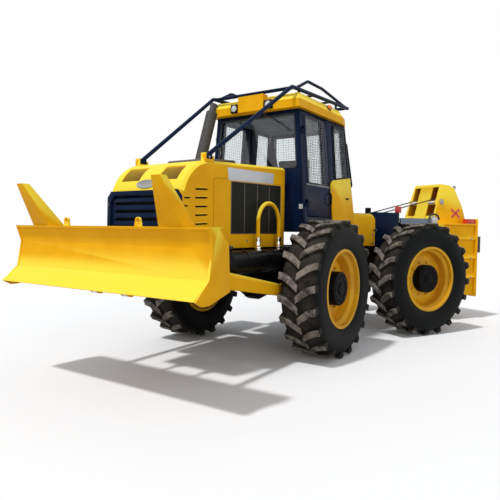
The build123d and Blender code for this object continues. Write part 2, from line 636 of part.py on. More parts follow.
# Limb guard: a bent tube each side from the hood over the roof, front and rear bars, hoops and posts
GUARD_HOOP_Z = 3275.0
GUARD_HOOP_R = 19.0
gx, gy, gz = GUARD_FRONT


def guard_z(x):
    """Height of the side tube's centre line over the roof."""
    return gz + (GUARD_REAR_Z - gz) * (gx - x) / (gx - GUARD_REAR_X)


with BuildPart() as limb_guard:
    for hand in (1, -1):
        pipe([(RISER_FOOT[0], hand * RISER_FOOT[1], RISER_FOOT[2]), (gx, hand * gy, gz),
              (GUARD_REAR_X, hand * gy, GUARD_REAR_Z)], 90, GUARD_TUBE_R)
        pipe([(gx - 90, hand * gy, guard_z(gx - 90)), (-230, hand * gy, GUARD_HOOP_Z),
              (-620, hand * gy, GUARD_HOOP_Z), (GUARD_REAR_X + 60, hand * gy, guard_z(GUARD_REAR_X + 60))],
             120, GUARD_HOOP_R)
        shoe_rear = lug_rear + LUG_WALL + 10
        shoe_front = lug_front - LUG_WALL - 10
        with BuildSketch(side(hand * RISER_FOOT[1] + 24)):
            Polygon((shoe_rear, LUG_SEAT), (shoe_front, LUG_SEAT), (shoe_front, RISER_FOOT[2] - 5),
                    (RISER_FOOT[0] + 17, RISER_FOOT[2] + 24), (shoe_rear, RISER_FOOT[2] + 24), align=None)
        extrude(amount=48)
        for x in (-20, -1060):
            rod((x, hand * (gy - 5), ROOF_TOP), (x, hand * (gy - 5), guard_z(x)), 16)
    for x, radius in ((gx - 50, GUARD_TUBE_R - 2), (-420, 15), (-900, 15),
                      (GUARD_REAR_X + 25, GUARD_TUBE_R - 2)):
        rod((x, -gy, guard_z(x)), (x, gy, guard_z(x)), radius)
save(limb_guard, "limb_guard")

# Side tanks under the hood's edges and the yellow suction hose in its hoop
TANK_Y = 560.0
TANK_Z = 1115.0
TANK_R = 124.0
TANK_FRONT = 1450.0
TANK_REAR = 350.0
with BuildPart() as side_tanks:
    for hand in (1, -1):
        rod((TANK_REAR, hand * TANK_Y, TANK_Z), (TANK_FRONT, hand * TANK_Y, TANK_Z), TANK_R)
        rod((TANK_FRONT - 120, hand * TANK_Y, TANK_Z + TANK_R - 10),
            (TANK_FRONT - 120, hand * TANK_Y, TANK_Z + TANK_R + 35), 32)
    fillet(side_tanks.edges().filter_by(GeomType.CIRCLE).filter_by(
        lambda e: abs(e.radius - TANK_R) < 1), 60)
    for hand in (1, -1):
        inner, outer = sorted((hand * FRAME_HALF, hand * (TANK_Y - 40)))
        for x in (560, 1240):
            slab((x - 30, x + 30), (inner, outer), (TANK_Z - 20, TANK_Z + 60))
save(side_tanks, "side_tanks")

HOSE_R = 22.0
HOOP_X = 594.0
HOOP_HALF = 215.0
HOOP_TOP = 1745.0
with BuildPart() as hose_hoop:
    foot_z = TANK_Z + TANK_R
    pipe([(HOOP_X + HOOP_HALF, TANK_Y, foot_z + 60), (HOOP_X + HOOP_HALF, TANK_Y, HOOP_TOP),
          (HOOP_X - HOOP_HALF, TANK_Y, HOOP_TOP), (HOOP_X - HOOP_HALF, TANK_Y, foot_z + 60)],
         HOOP_HALF - 1, HOSE_R)
    for step in (-1, 1):
        x = HOOP_X + step * HOOP_HALF
        rod((x, TANK_Y, foot_z - 5), (x, TANK_Y, foot_z + 70), HOSE_R + 6)
    rod((TANK_REAR - 1, TANK_Y, TANK_Z), (TANK_FRONT + 1, TANK_Y, TANK_Z), TANK_R + SEAT_GAP,
        mode=Mode.SUBTRACT)
save(hose_hoop, "hose_hoop")

# Access rails behind the cab and the step ladders behind the front wheels
RAIL_Y = 525.0
with BuildPart() as access_rails:
    for hand in (1, -1):
        pipe([(-1300, hand * RAIL_Y, 2680), (-1400, hand * RAIL_Y, 2672), (-1620, hand * RAIL_Y, 2095),
              (-1370, hand * RAIL_Y, 2031)], 30, 13)
        outer_y = hand * 700
        pipe([(-860, outer_y, CAB_FLOOR), (-860, outer_y, 700), (-1120, outer_y, 700),
              (-1120, outer_y, CAB_FLOOR)], 40, 16)
        inner, outer = sorted((hand * 560, outer_y))
        for z in (700, 940, 1180):
            slab((-1120, -860), (inner, outer), (z - 6, z + 6))
        inner_y = hand * 560
        pipe([(-860, inner_y, CAB_FLOOR), (-860, inner_y, 700), (-1120, inner_y, 700),
              (-1120, inner_y, CAB_FLOOR)], 40, 16)
    cab_solid(CAB_FLOOR, CAB_TOP, 0, mode=Mode.SUBTRACT)
save(access_rails, "access_rails")

# Driver's seat and the steering column with its wheel
with BuildPart() as seat:
    floor = CAB_FLOOR + CAB_WALL
    slab((-950, -650), (-180, 180), (floor, floor + 240))
    slab((-1020, -520), (-250, 250), (floor + 240, floor + 370))
    with BuildSketch(side(-240)):
        Polygon((-1020, floor + 370), (-880, floor + 370), (-960, floor + 980), (-1060, floor + 980),
                align=None)
    extrude(amount=-480)
    fillet(seat.edges().filter_by(Axis.Y).group_by(Axis.Z)[-1], 30)
save(seat, "cab_seat")

with BuildPart() as controls:
    slab((-330, -40), (-420, 420), (floor, floor + 90))
    rod((-120, 0, floor + 60), (-300, 0, floor + 640), 38)
    tilt = Vector(-180, 0, 580).normalized()
    with BuildSketch(Plane(origin=(-300, 0, floor + 640), z_dir=tilt)):
        Circle(190)
        Circle(165, mode=Mode.SUBTRACT)
        Rectangle(340, 30)
    extrude(amount=24)
save(controls, "cab_controls")

# Blade: folded mouldboard, end plates, top flange, rear box beam, ribs, hooks and the eyes' cheeks
plate_front = [BLADE_TOP, BLADE_KINK_HIGH, BLADE_KINK_LOW, BLADE_TIP]
plate_back = [(BLADE_TIP[0] - 26, BLADE_TIP[1] - 8),
              (BLADE_KINK_LOW[0] - BLADE_PLATE, BLADE_KINK_LOW[1] - 8),
              (BLADE_KINK_HIGH[0] - BLADE_PLATE, BLADE_KINK_HIGH[1]),
              (BLADE_TOP[0] - BLADE_PLATE, BLADE_TOP[1])]
end_outline = [(2494, BLADE_TOP[1]), (2380, BLADE_TOP[1]), (2245, 1340), (2222, 965), (2485, 884),
               (2560, 884),
               (BLADE_TIP[0] - 8, BLADE_TIP[1] - 4), (BLADE_KINK_LOW[0] + 8, BLADE_KINK_LOW[1]),
               (BLADE_KINK_HIGH[0] + 8, BLADE_KINK_HIGH[1])]
BEAM_REAR = BLADE_KINK_HIGH[0] - 103
beam = [(BEAM_REAR, 1200), (BEAM_REAR, 990), (2555, 990), (2465, 1075), (2435, 1200)]
with BuildPart() as blade:
    with BuildSketch(Plane.XZ):
        Polygon(*plate_front, *plate_back, align=None)
        Polygon(*beam, align=None)
    extrude(amount=BLADE_HALF - 10, both=True)
    for hand in (1, -1):
        with BuildSketch(side(hand * BLADE_HALF)):
            Polygon(*end_outline, align=None)
        extrude(amount=hand * BLADE_PLATE)
    slab((2305, 2492), (-BLADE_HALF + 1, BLADE_HALF - 1), (BLADE_TOP[1] - 20, BLADE_TOP[1]))
    for y in (-1000, -620, -LIFT_Y, LIFT_Y, 620, 1000):
        with BuildSketch(side(y + 9)):
            Polygon((2440, BLADE_TOP[1] - 10), (2320, BLADE_TOP[1] - 10), (BLADE_KINK_HIGH[0] - 100, 1190),
                    (2430, 1190), align=None)
        extrude(amount=18)
    for y in (-HOOK_Y, HOOK_Y):
        with BuildSketch(Plane.YZ.offset(BLADE_TOP[0] - 30)):
            Polygon((y - 39, BLADE_TOP[1] - 15), (y + 39, BLADE_TOP[1] - 15), (y + 28, HOOK_Z),
                    (y - 28, HOOK_Z), align=None)
            with Locations((y, HOOK_Z)):
                Circle(28)
                Circle(HOOK_HOLE_R, mode=Mode.SUBTRACT)
        extrude(amount=HOOK_THICK)
    for y in (-LIFT_Y, LIFT_Y):
        for start in (y + EYE_HALF + SIDE_GAP / 2 + CHEEK_WALL, y - EYE_HALF - SIDE_GAP / 2):
            with BuildSketch(side(start)):
                with Locations(LIFT_EYE):
                    Circle(EYE_R)
                Polygon((LIFT_EYE[0] - EYE_R, LIFT_EYE[1]), (BEAM_REAR, 1040), (2500, 1040),
                        (2500, 1000), (LIFT_EYE[0] + EYE_R, LIFT_EYE[1]), align=None)
            extrude(amount=CHEEK_WALL)
save(blade, "blade")

with BuildPart() as blade_horns:
    for hand in (1, -1):
        for wall, mode in ((0.0, Mode.ADD), (HORN_WALL, Mode.SUBTRACT)):
            faces = []
            for height, lead, middle, half, depth in HORN_LEVELS:
                with BuildSketch(Plane.XY.offset(BLADE_TOP[1] + height)) as level:
                    with Locations((BLADE_TOP[0] + lead - wall - depth / 2, hand * middle)):
                        Rectangle(depth, 2 * (half - wall))
                faces.append(level.sketch)
            loft(faces, mode=mode)
save(blade_horns, "blade_horns")

arm_outline = [(ARM_PIVOT_X + 20, ARM_PIVOT_Z - 62), (1550, 882), (2200, 985), (BEAM_REAR, 1000),
               (BEAM_REAR, 1190), (2240, 1190), (1550, 1044), (ARM_PIVOT_X + 20, ARM_PIVOT_Z + 62)]
with BuildPart() as push_arms:
    for hand in (1, -1):
        start = hand * ARM_INNER if hand < 0 else ARM_OUTER
        with BuildSketch(side(start)):
            Polygon(*arm_outline, align=None)
            with Locations((ARM_PIVOT_X, ARM_PIVOT_Z)):
                Circle(88)
                Circle(ARM_PIN_R + RUN_GAP, mode=Mode.SUBTRACT)
        extrude(amount=ARM_OUTER - ARM_INNER)
save(push_arms, "push_arms")


def barrel(foot, eye, pin, radius, length, bore, pin_r):
    """A hydraulic barrel from its foot towards the eye, with the bore for its rod."""
    line = (eye - foot).normalized()
    rod(foot, foot + line * (EYE_R + 50), EYE_HALF - 4)
    rod(foot + line * (EYE_R + 34), foot + line * length, radius)
    rod(foot - pin * EYE_HALF, foot + pin * EYE_HALF, EYE_R)
    rod(foot + line * BORE_START, foot + line * (length + 1), bore, mode=Mode.SUBTRACT)
    rod(foot - pin * (EYE_HALF + 1), foot + pin * (EYE_HALF + 1), pin_r + RUN_GAP, mode=Mode.SUBTRACT)


def ram(foot, eye, pin, radius, length, pin_r):
    """A piston rod that ends in its eye, with the stub of the eye's pin."""
    line = (eye - foot).normalized()
    rod(eye - line * length, eye - line * (EYE_R - 20), radius)
    rod(eye - pin * EYE_HALF, eye + pin * EYE_HALF, EYE_R)
    rod(eye - pin * (EYE_HALF + 2), eye + pin * (EYE_HALF + 2), pin_r)


across = Vector(0, 1, 0)
upright = Vector(0, 0, 1)
with BuildPart() as lift_barrels:
    for y in (-LIFT_Y, LIFT_Y):
        barrel(Vector(LIFT_FOOT[0], y, LIFT_FOOT[1]), Vector(LIFT_EYE[0], y, LIFT_EYE[1]), across,
               LIFT_BARREL_R, LIFT_BARREL_LENGTH, LIFT_ROD_R + RUN_GAP, LIFT_PIN_R)
save(lift_barrels, "lift_barrels")
with BuildPart() as lift_rods:
    for y in (-LIFT_Y, LIFT_Y):
        ram(Vector(LIFT_FOOT[0], y, LIFT_FOOT[1]), Vector(LIFT_EYE[0], y, LIFT_EYE[1]), across,
            LIFT_ROD_R, LIFT_ROD_LENGTH, LIFT_PIN_R)
save(lift_rods, "lift_rods")

for hand, word in ((1, "left"), (-1, "right")):
    foot = Vector(STEER_FOOT[0], hand * STEER_FOOT[1], STEER_Z)
    arm = Vector(STEER_EYE[0] - PIVOT_X, hand * STEER_EYE[1], 0).rotate(Axis.Z, BEND)
    eye = Vector(PIVOT_X, 0, STEER_Z) + arm
    with BuildPart() as steer_barrel:
        barrel(foot, eye, upright, STEER_BARREL_R, STEER_BARREL_LENGTH, STEER_ROD_R + RUN_GAP, STEER_PIN_R)
    save(steer_barrel, f"steer_barrel_{word}")
    with BuildPart() as steer_rod:
        ram(foot, eye, upright, STEER_ROD_R, STEER_ROD_LENGTH, STEER_PIN_R)
    save(steer_rod, f"steer_rod_{word}")

# Rear frame: side plates over the axle, the pivot's ears, wings for the steering rods, and the raised deck
rear_outline = [
    (REAR_NOSE_X, REAR_BOTTOM), (-2260, REAR_BOTTOM), (-2410, FRAME_OVER_AXLE),
    (SHIELD_FRONT, FRAME_OVER_AXLE),
    (SHIELD_FRONT, DECK_Z), (-2870, DECK_Z), (-2870, REAR_TOP), (REAR_NOSE_X, REAR_TOP),
]
rear_span = REAR_HALF - REAR_WALL
CURB_WALL = 25.0
with BuildPart() as rear_frame:
    for hand in (1, -1):
        with BuildSketch(side(hand * REAR_HALF)):
            Polygon(*rear_outline, align=None)
        extrude(amount=hand * REAR_WALL)
    slab((REAR_NOSE_X - 40, REAR_NOSE_X), (-rear_span, rear_span), (REAR_BOTTOM, REAR_TOP))
    slab((-2260, REAR_NOSE_X), (-rear_span, rear_span), (REAR_BOTTOM, REAR_BOTTOM + 25))
    slab((-2895, REAR_NOSE_X), (-rear_span, rear_span), (REAR_TOP - 25, REAR_TOP))
    slab((-2895, -2870), (-rear_span, rear_span), (REAR_TOP, DECK_Z))
    slab((SHIELD_FRONT, -2870), (-rear_span, rear_span), (DECK_Z - 25, DECK_Z))
    slab((SHIELD_FRONT, SHIELD_FRONT + 30), (-rear_span, rear_span), (FRAME_OVER_AXLE, DECK_Z))
    for hand in (1, -1):
        inner, outer = sorted((hand * REAR_HALF, hand * (REAR_HALF + CURB_WALL)))
        slab((SHIELD_FRONT + 120, -2870), (inner, outer), (DECK_Z - 23, DECK_Z + 67))
    for level in EAR_LEVELS:
        with BuildSketch(Plane.XY.offset(level - EAR_THICK / 2)):
            with Locations((PIVOT_X, 0)):
                Circle(PIVOT_EAR_HALF - 20)
            Polygon((PIVOT_X, -PIVOT_EAR_HALF + 30), (PIVOT_X, PIVOT_EAR_HALF - 30),
                    (REAR_NOSE_X - 20, rear_span - 15), (REAR_NOSE_X - 20, -rear_span + 15), align=None)
            with Locations((PIVOT_X, 0)):
                Circle(PIVOT_PIN_R + RUN_GAP, mode=Mode.SUBTRACT)
        extrude(amount=EAR_THICK)
    for hand in (1, -1):
        eye_y = hand * STEER_EYE[1]
        for level in (STEER_Z - EYE_HALF - SIDE_GAP / 2 - CHEEK_WALL, STEER_Z + EYE_HALF + SIDE_GAP / 2):
            with BuildSketch(Plane.XY.offset(level)):
                with Locations((STEER_EYE[0], eye_y)):
                    Circle(EYE_R)
                Polygon((REAR_NOSE_X - 20, hand * 180), (STEER_EYE[0] + 10, eye_y - hand * (EYE_R - 8)),
                        (STEER_EYE[0] + 10, eye_y + hand * (EYE_R - 8)),
                        (REAR_NOSE_X - 120, hand * (REAR_HALF - 10)), align=None)
            extrude(amount=CHEEK_WALL)
save(rear_frame, "rear_frame", REAR)

# Winch: guard with a rounded rear top edge and an open back, twin drum on its shaft and the two cables
WINCH_WALL = 25.0
WINCH_ROUND = 120.0


def winch_block(inset):
    """The winch guard's block drawn in by an inset, with its rear top edge rounded."""
    front = WINCH_FRONT - inset
    with BuildPart() as block:
        with BuildSketch(Plane.XZ) as outline:
            Polygon((WINCH_REAR - inset, REAR_TOP - inset), (front, REAR_TOP - inset),
                    (front, WINCH_TOP - inset), (WINCH_REAR - inset, WINCH_TOP - inset), align=None)
            fillet(outline.vertices().group_by(Axis.Y)[-1].sort_by(Axis.X)[0], WINCH_ROUND)
        extrude(outline.sketch, amount=WINCH_HALF - inset, both=True)
    return block.part


with BuildPart() as winch_guard:
    add(winch_block(0.0))
    add(winch_block(WINCH_WALL), mode=Mode.SUBTRACT)
    slab((WINCH_REAR - 1, DRUM_X + 20), (-WINCH_HALF + WINCH_WALL, WINCH_HALF - WINCH_WALL),
         (WINCH_TOP - WINCH_ROUND - 1, WINCH_TOP + 1), mode=Mode.SUBTRACT)
save(winch_guard, "winch_guard", REAR)

drum_end = WINCH_HALF - WINCH_WALL
drum_half = [(190, 0), (190, 14), (DRUM_R, 14), (DRUM_R, drum_end - 50), (190, drum_end - 50),
             (190, drum_end - 30), (45, drum_end - 30), (45, drum_end), (0, drum_end)]
with BuildPart() as winch_drums:
    with BuildSketch(Plane(origin=(DRUM_X, 0, DRUM_Z))):
        Polygon(*drum_half, *[(r, -y) for r, y in reversed(drum_half[1:])], align=None)
    revolve(axis=Axis((DRUM_X, 0, DRUM_Z), (0, 1, 0)))
save(winch_drums, "winch_drums", REAR)

wrap_r = ROLLER_R + CABLE_R + SEAT_GAP
coil_r = DRUM_R + CABLE_R + SEAT_GAP
run = hypot(DRUM_X - ROLLER_X, ROLLER_Z - DRUM_Z)
rise = atan2(ROLLER_Z - DRUM_Z, DRUM_X - ROLLER_X) - asin((coil_r - wrap_r) / run)
HOOK_DROP = 170.0
with BuildPart() as winch_cables:
    for y in (-CABLE_Y, CABLE_Y):
        start = (DRUM_X + coil_r * sin(rise), y, DRUM_Z + coil_r * cos(rise))
        corner_x = ROLLER_X - wrap_r
        corner_z = start[2] + (start[0] - corner_x) * tan(rise)
        pipe([start, (corner_x, y, corner_z), (corner_x, y, ROLLER_Z - HOOK_DROP)], wrap_r, CABLE_R)
        rod((corner_x, y, ROLLER_Z - HOOK_DROP - 90), (corner_x, y, ROLLER_Z - HOOK_DROP + 1), 20)
save(winch_cables, "winch_cables", REAR)

# Dark boxes each side of the winch: valves on the left, battery on the right
with BuildPart() as rear_boxes:
    for hand in (1, -1):
        inner, outer = sorted((hand * 220, hand * 372))
        slab((-2845, WINCH_REAR - SEAT_GAP), (inner, outer), (REAR_TOP, 1740))
save(rear_boxes, "rear_boxes", REAR)

# Cable tower: a hollow leaning box with windows in its front sheet, a middle plate and bosses for rollers
TOWER_HEAD = (-3858.0, 2250.0)
tower_side = [(SHIELD_FRONT, DECK_Z), TOWER_HEAD, (-4081.0, 2229.0), (-4176.0, 2189.0), (-4342.0, 1886.0),
              (SHIELD_REAR + 2, 1681.0), (SHIELD_REAR + 2, DECK_Z)]
TOWER_SHEET = 20.0
BOSS_INNER = 262.0
BOSS_R = 34.0
WINDOW_ROWS = ((135.0, 332.0, 120.0, 285.0), (396.0, 642.0, 130.0, 255.0))
lean = atan2(SHIELD_FRONT - TOWER_HEAD[0], TOWER_HEAD[1] - DECK_Z)
front_sheet = Plane(origin=(SHIELD_FRONT, 0, DECK_Z), x_dir=(0, 1, 0), z_dir=(cos(lean), 0, sin(lean)))


def tower_block(wall, sheet):
    """The tower's leaning block drawn in by its side wall and its sheets."""
    low = TOWER_HALF_LOW - wall
    high = TOWER_HALF_HIGH - wall
    with BuildPart() as block:
        with BuildSketch(Plane.XZ) as outline:
            offset(Polygon(*tower_side, align=None, mode=Mode.PRIVATE), amount=-sheet)
        extrude(outline.sketch, amount=TOWER_HALF_LOW, both=True)
        with BuildSketch(Plane.YZ.offset(SHIELD_FRONT)) as front_view:
            Polygon((-low, DECK_Z), (low, DECK_Z), (high, TOWER_HEAD[1]), (-high, TOWER_HEAD[1]), align=None)
        extrude(front_view.sketch, amount=SHIELD_REAR - SHIELD_FRONT, mode=Mode.INTERSECT)
    return block.part


with BuildPart() as tower:
    add(tower_block(0.0, 0.0))
    add(tower_block(TOWER_PLATE, TOWER_SHEET), mode=Mode.SUBTRACT)
    with BuildSketch(side(TOWER_PLATE / 2)):
        Polygon(*tower_side, align=None)
    extrude(amount=TOWER_PLATE)
    with BuildSketch(front_sheet.offset(1)):
        for low, high, inner, outer in WINDOW_ROWS:
            middle = (inner + outer) / 2
            with Locations((middle, (low + high) / 2), (-middle, (low + high) / 2)):
                Rectangle(outer - inner, high - low)
    extrude(amount=-2 * TOWER_SHEET, mode=Mode.SUBTRACT)
    for hand in (1, -1):
        rod((ROLLER_X, hand * BOSS_INNER, ROLLER_Z), (ROLLER_X, hand * (BOSS_INNER + 36), ROLLER_Z), BOSS_R)
save(tower, "cable_tower", REAR)

with BuildPart() as rollers:
    for hand in (1, -1):
        inner = hand * TOWER_PLATE / 2
        outer = hand * BOSS_INNER
        rod((ROLLER_X, inner, ROLLER_Z), (ROLLER_X, outer, ROLLER_Z), 18)
        rod((ROLLER_X, inner + hand * 12, ROLLER_Z), (ROLLER_X, outer - hand * 12, ROLLER_Z), ROLLER_R)
save(rollers, "tower_rollers", REAR)

# Rear shield: box under the tower with its butt plate, deck, side ribs and the drawbar eye
with BuildPart() as shield:
    butt_rear = SHIELD_REAR - SHIELD_PLATE
    slab((butt_rear, SHIELD_REAR), (-SHIELD_HALF - 20, SHIELD_HALF + 20), (SHIELD_BOTTOM, 1677))
    slab((SHIELD_REAR, SHIELD_FRONT), (-SHIELD_HALF + 40, SHIELD_HALF - 40), (DECK_Z - 25, DECK_Z))
    slab((SHIELD_FRONT - 25, SHIELD_FRONT), (-SHIELD_HALF + 40, SHIELD_HALF - 40), (640, DECK_Z))
    for hand in (1, -1):
        with BuildSketch(side(hand * (SHIELD_HALF - 40))):
            Polygon((SHIELD_FRONT, 640), (SHIELD_FRONT, DECK_Z), (SHIELD_REAR, DECK_Z),
                    (SHIELD_REAR, SHIELD_BOTTOM + 20), (SHIELD_REAR + 260, SHIELD_BOTTOM + 20), align=None)
        extrude(amount=hand * 25)
        inner, outer = sorted((hand * (SHIELD_HALF - 50), hand * SHIELD_HALF))
        for z in (700, 1023, 1340, DECK_Z - 12):
            slab((SHIELD_REAR, SHIELD_FRONT - 60), (inner, outer), (z - 12, z + 12))
        inner, outer = sorted((hand * 430, hand * 578))
        slab((butt_rear - 70, butt_rear + 1), (inner, outer), (1112, 1382))
    # clevis of the rear hitch
    hitch_x = butt_rear - HITCH_REACH
    for z in (HITCH_Z - 58, HITCH_Z + 34):
        with BuildSketch(Plane.XY.offset(z)):
            with Locations((hitch_x, 0)):
                Circle(48)
            Polygon((hitch_x, -48), (hitch_x, 48), (butt_rear + 1, 70), (butt_rear + 1, -70), align=None)
            with Locations((hitch_x, 0)):
                Circle(HITCH_HOLE_R, mode=Mode.SUBTRACT)
        extrude(amount=24)
save(shield, "rear_shield", REAR)

with BuildPart() as rear_lamps:
    for hand in (1, -1):
        inner, outer = sorted((hand * 455, hand * 555))
        slab((SHIELD_REAR, SHIELD_REAR + 200), (inner, outer), (DECK_Z, DECK_Z + 80))
        inner, outer = sorted((hand * 315, hand * 372))
        slab((-2885, -2800), (inner, outer), (1740, 1840))
save(rear_lamps, "rear_lamps", REAR)
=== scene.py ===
"""Looks of an articulated log skidder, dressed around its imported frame. All lengths are in metres."""
import json
import logging
import math
from collections.abc import Callable, Iterator, Sequence
from contextlib import contextmanager
from dataclasses import dataclass
from enum import Enum

import bpy
from mathutils import Matrix, Vector


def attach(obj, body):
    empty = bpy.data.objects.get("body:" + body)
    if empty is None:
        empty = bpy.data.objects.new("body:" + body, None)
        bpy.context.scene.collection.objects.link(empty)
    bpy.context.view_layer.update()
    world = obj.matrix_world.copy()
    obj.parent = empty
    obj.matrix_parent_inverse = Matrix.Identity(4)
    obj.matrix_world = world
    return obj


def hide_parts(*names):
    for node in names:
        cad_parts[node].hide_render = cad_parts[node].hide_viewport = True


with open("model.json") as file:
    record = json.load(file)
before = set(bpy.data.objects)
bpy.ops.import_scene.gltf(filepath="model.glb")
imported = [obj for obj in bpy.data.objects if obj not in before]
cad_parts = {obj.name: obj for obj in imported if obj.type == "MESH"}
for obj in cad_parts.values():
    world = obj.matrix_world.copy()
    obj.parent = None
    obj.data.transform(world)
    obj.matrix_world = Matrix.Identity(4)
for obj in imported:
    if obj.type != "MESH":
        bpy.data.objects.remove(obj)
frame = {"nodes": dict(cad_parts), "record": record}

log = logging.getLogger("skidder")
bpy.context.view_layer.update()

Span = tuple[float, float]
Point = tuple[float, float, float]
Profile = tuple[Span, ...]

# The front half is drawn from its axle and the rear half swings about the pivot
FRONT_AXLE = Vector((0.847, -0.395, 0.0))
PIVOT = Vector((-1.340, 0.0, 0.0))
BEND = math.radians(-27.0)
FRONT_PLACE = Matrix.Translation(FRONT_AXLE)
REAR_PLACE = (
    FRONT_PLACE @ Matrix.Translation(PIVOT) @ Matrix.Rotation(BEND, 4, "Z") @ Matrix.Translation(-PIVOT)
)

# Left is +Y, so the left side is 1 and the right side -1
HANDS = (1, -1)
AHEAD, UP = Vector((1, 0, 0)), Vector((0, 0, 1))
WHEELBASE, HALF_TRACK, AXLE_HEIGHT = 2.630, 1.015, 0.790

# How near a normal is to an axis where its face counts as facing it
FACING = 0.9
# Angles in degrees: smooth shading on plain, softened and padded pieces, and what a softened edge is
PLAIN_SMOOTH, SOFTENED_SMOOTH, SOFT_SMOOTH = 35.0, 32.0, 60.0
EDGE_ANGLE, FLAT_ANGLE = 38.0, 0.6
# Distances under which points are merged, on spun pieces and on copies of CAD nodes
SPUN_MERGE, NODE_MERGE = 1e-5, 2e-5
# Steps in the rounding of a bent tube, and the facets of its section
BEND_STEPS, TUBE_FACETS = 4, 3
# The break at the ends of a bar, as a share of its radius and at the most
END_BREAK, END_BREAK_MOST = 0.18, 0.004
# A bolt's head as shares of its height: how high its middle is, its broken edges and its washer
HEAD_MIDDLE, HEAD_BREAK, WASHER_HEIGHT = 0.7, 0.12, 0.3
WASHER_REACH = 1.35
# Facets round knobs, ferrules, caps, lenses and bands
KNOB_STEPS, FERRULE_STEPS, CAP_STEPS, LENS_STEPS, BAND_STEPS = 24, 32, 40, 48, 64
# Radius of the broken edges of sheet metal
SHEET_EDGE = 0.001


class Half(Enum):
    """The two halves of the machine, each with the body that carries it."""

    FRONT = "machine_front"
    REAR = "machine_rear"

    @property
    def place(self) -> Matrix:
        """Matrix from the straight machine, X = 0 at the front axle, to the scene."""
        return FRONT_PLACE if self is Half.FRONT else REAR_PLACE


def make_active(obj: bpy.types.Object) -> None:
    """Deselect everything, then select one object and make it active."""
    bpy.ops.object.select_all(action="DESELECT")
    obj.select_set(True)
    bpy.context.view_layer.objects.active = obj


@contextmanager
def editing(obj: bpy.types.Object) -> Iterator[None]:
    """Hold one object in edit mode with all of it selected.

    Args:
        obj: The mesh object to edit.
    """
    make_active(obj)
    bpy.ops.object.mode_set(mode="EDIT")
    bpy.ops.mesh.select_all(action="SELECT")
    yield
    bpy.ops.object.mode_set(mode="OBJECT")


def select_faces(obj: bpy.types.Object, test: Callable[[bpy.types.MeshPolygon], bool]) -> None:
    """Select the faces that pass a test, and nothing else, ready for edit mode.

    Args:
        obj: The mesh object.
        test: Says whether a face is wanted.
    """
    make_active(obj)
    bpy.ops.object.mode_set(mode="EDIT")
    bpy.ops.mesh.select_mode(type="FACE")
    bpy.ops.mesh.select_all(action="DESELECT")
    bpy.ops.object.mode_set(mode="OBJECT")
    for face in obj.data.polygons:
        face.select = test(face)
    bpy.ops.object.mode_set(mode="EDIT")


def settle(obj: bpy.types.Object, matrix: Matrix) -> bpy.types.Object:
    """Move an object by a matrix and put its place in its mesh.

    Args:
        obj: The object, at the origin.
        matrix: Where it goes.

    Returns:
        The same object.
    """
    make_active(obj)
    obj.matrix_world = matrix @ obj.matrix_world
    bpy.ops.object.transform_apply(location=True, rotation=True, scale=True)
    return obj


def join(name: str, parts: Sequence[bpy.types.Object]) -> bpy.types.Object:
    """Join several objects into one.

    Args:
        name: Name of the result.
        parts: The objects, which are used up.

    Returns:
        The joined object.
    """
    make_active(parts[0])
    for part in parts[1:]:
        part.select_set(True)
    if len(parts) > 1:
        bpy.ops.object.join()
    parts[0].name = name
    return parts[0]


def copy_of(obj: bpy.types.Object, matrix: Matrix) -> bpy.types.Object:
    """Copy an object with its own mesh and settle the copy elsewhere.

    Args:
        obj: The object to copy.
        matrix: Where the copy goes.

    Returns:
        The copy.
    """
    twin = obj.copy()
    twin.data = obj.data.copy()
    bpy.context.collection.objects.link(twin)
    return settle(twin, matrix)


def aimed(point: Vector, direction: Vector) -> Matrix:
    """Matrix that moves the origin to a point and turns +Z to a direction."""
    return Matrix.Translation(point) @ direction.to_track_quat("Z", "Y").to_matrix().to_4x4()


def block(
    low: Sequence[float], high: Sequence[float], bevel: float = 0.0, segments: int = 2
) -> bpy.types.Object:
    """A block between two corners with its edges rounded.

    Args:
        low: Lowest corner.
        high: Highest corner.
        bevel: Radius of the edges.
        segments: Steps round each edge.

    Returns:
        The block.
    """
    low, high = Vector(low), Vector(high)
    bpy.ops.mesh.primitive_cube_add(size=1.0, location=(low + high) / 2, scale=high - low)
    obj = bpy.context.object
    bpy.ops.object.transform_apply(location=True, rotation=True, scale=True)
    if bevel > 0.0:
        with editing(obj):
            bpy.ops.mesh.bevel(offset=bevel, segments=segments, affect="EDGES")
    return obj


def side_block(
    hand: int, x: Span, y: Sequence[float], z: Span, bevel: float = 0.0, segments: int = 2
) -> bpy.types.Object:
    """A rounded block on one side of the machine.

    Args:
        hand: 1 for the left side, -1 for the right one.
        x: Its lowest and highest X.
        y: How far its two faces are from the middle.
        z: Its lowest and highest Z.
        bevel: Radius of the edges.
        segments: Steps round each edge.

    Returns:
        The block.
    """
    inner, outer = sorted(hand * face for face in y)
    return block((x[0], inner, z[0]), (x[1], outer, z[1]), bevel, segments)


def bar(start: Sequence[float], end: Sequence[float], radius: float, sides: int = 24) -> bpy.types.Object:
    """A round bar between two points, with its end edges broken.

    Args:
        start: One end.
        end: The other end.
        radius: The bar's radius.
        sides: Facets round it.

    Returns:
        The bar.
    """
    start, end = Vector(start), Vector(end)
    line = end - start
    bpy.ops.mesh.primitive_cylinder_add(vertices=sides, radius=radius, depth=line.length)
    obj = bpy.context.object
    select_faces(obj, lambda face: abs(face.normal.z) > FACING)
    bpy.ops.mesh.inset(thickness=min(radius * END_BREAK, END_BREAK_MOST), depth=0.0)
    bpy.ops.object.mode_set(mode="OBJECT")
    return settle(obj, aimed((start + end) / 2, line))


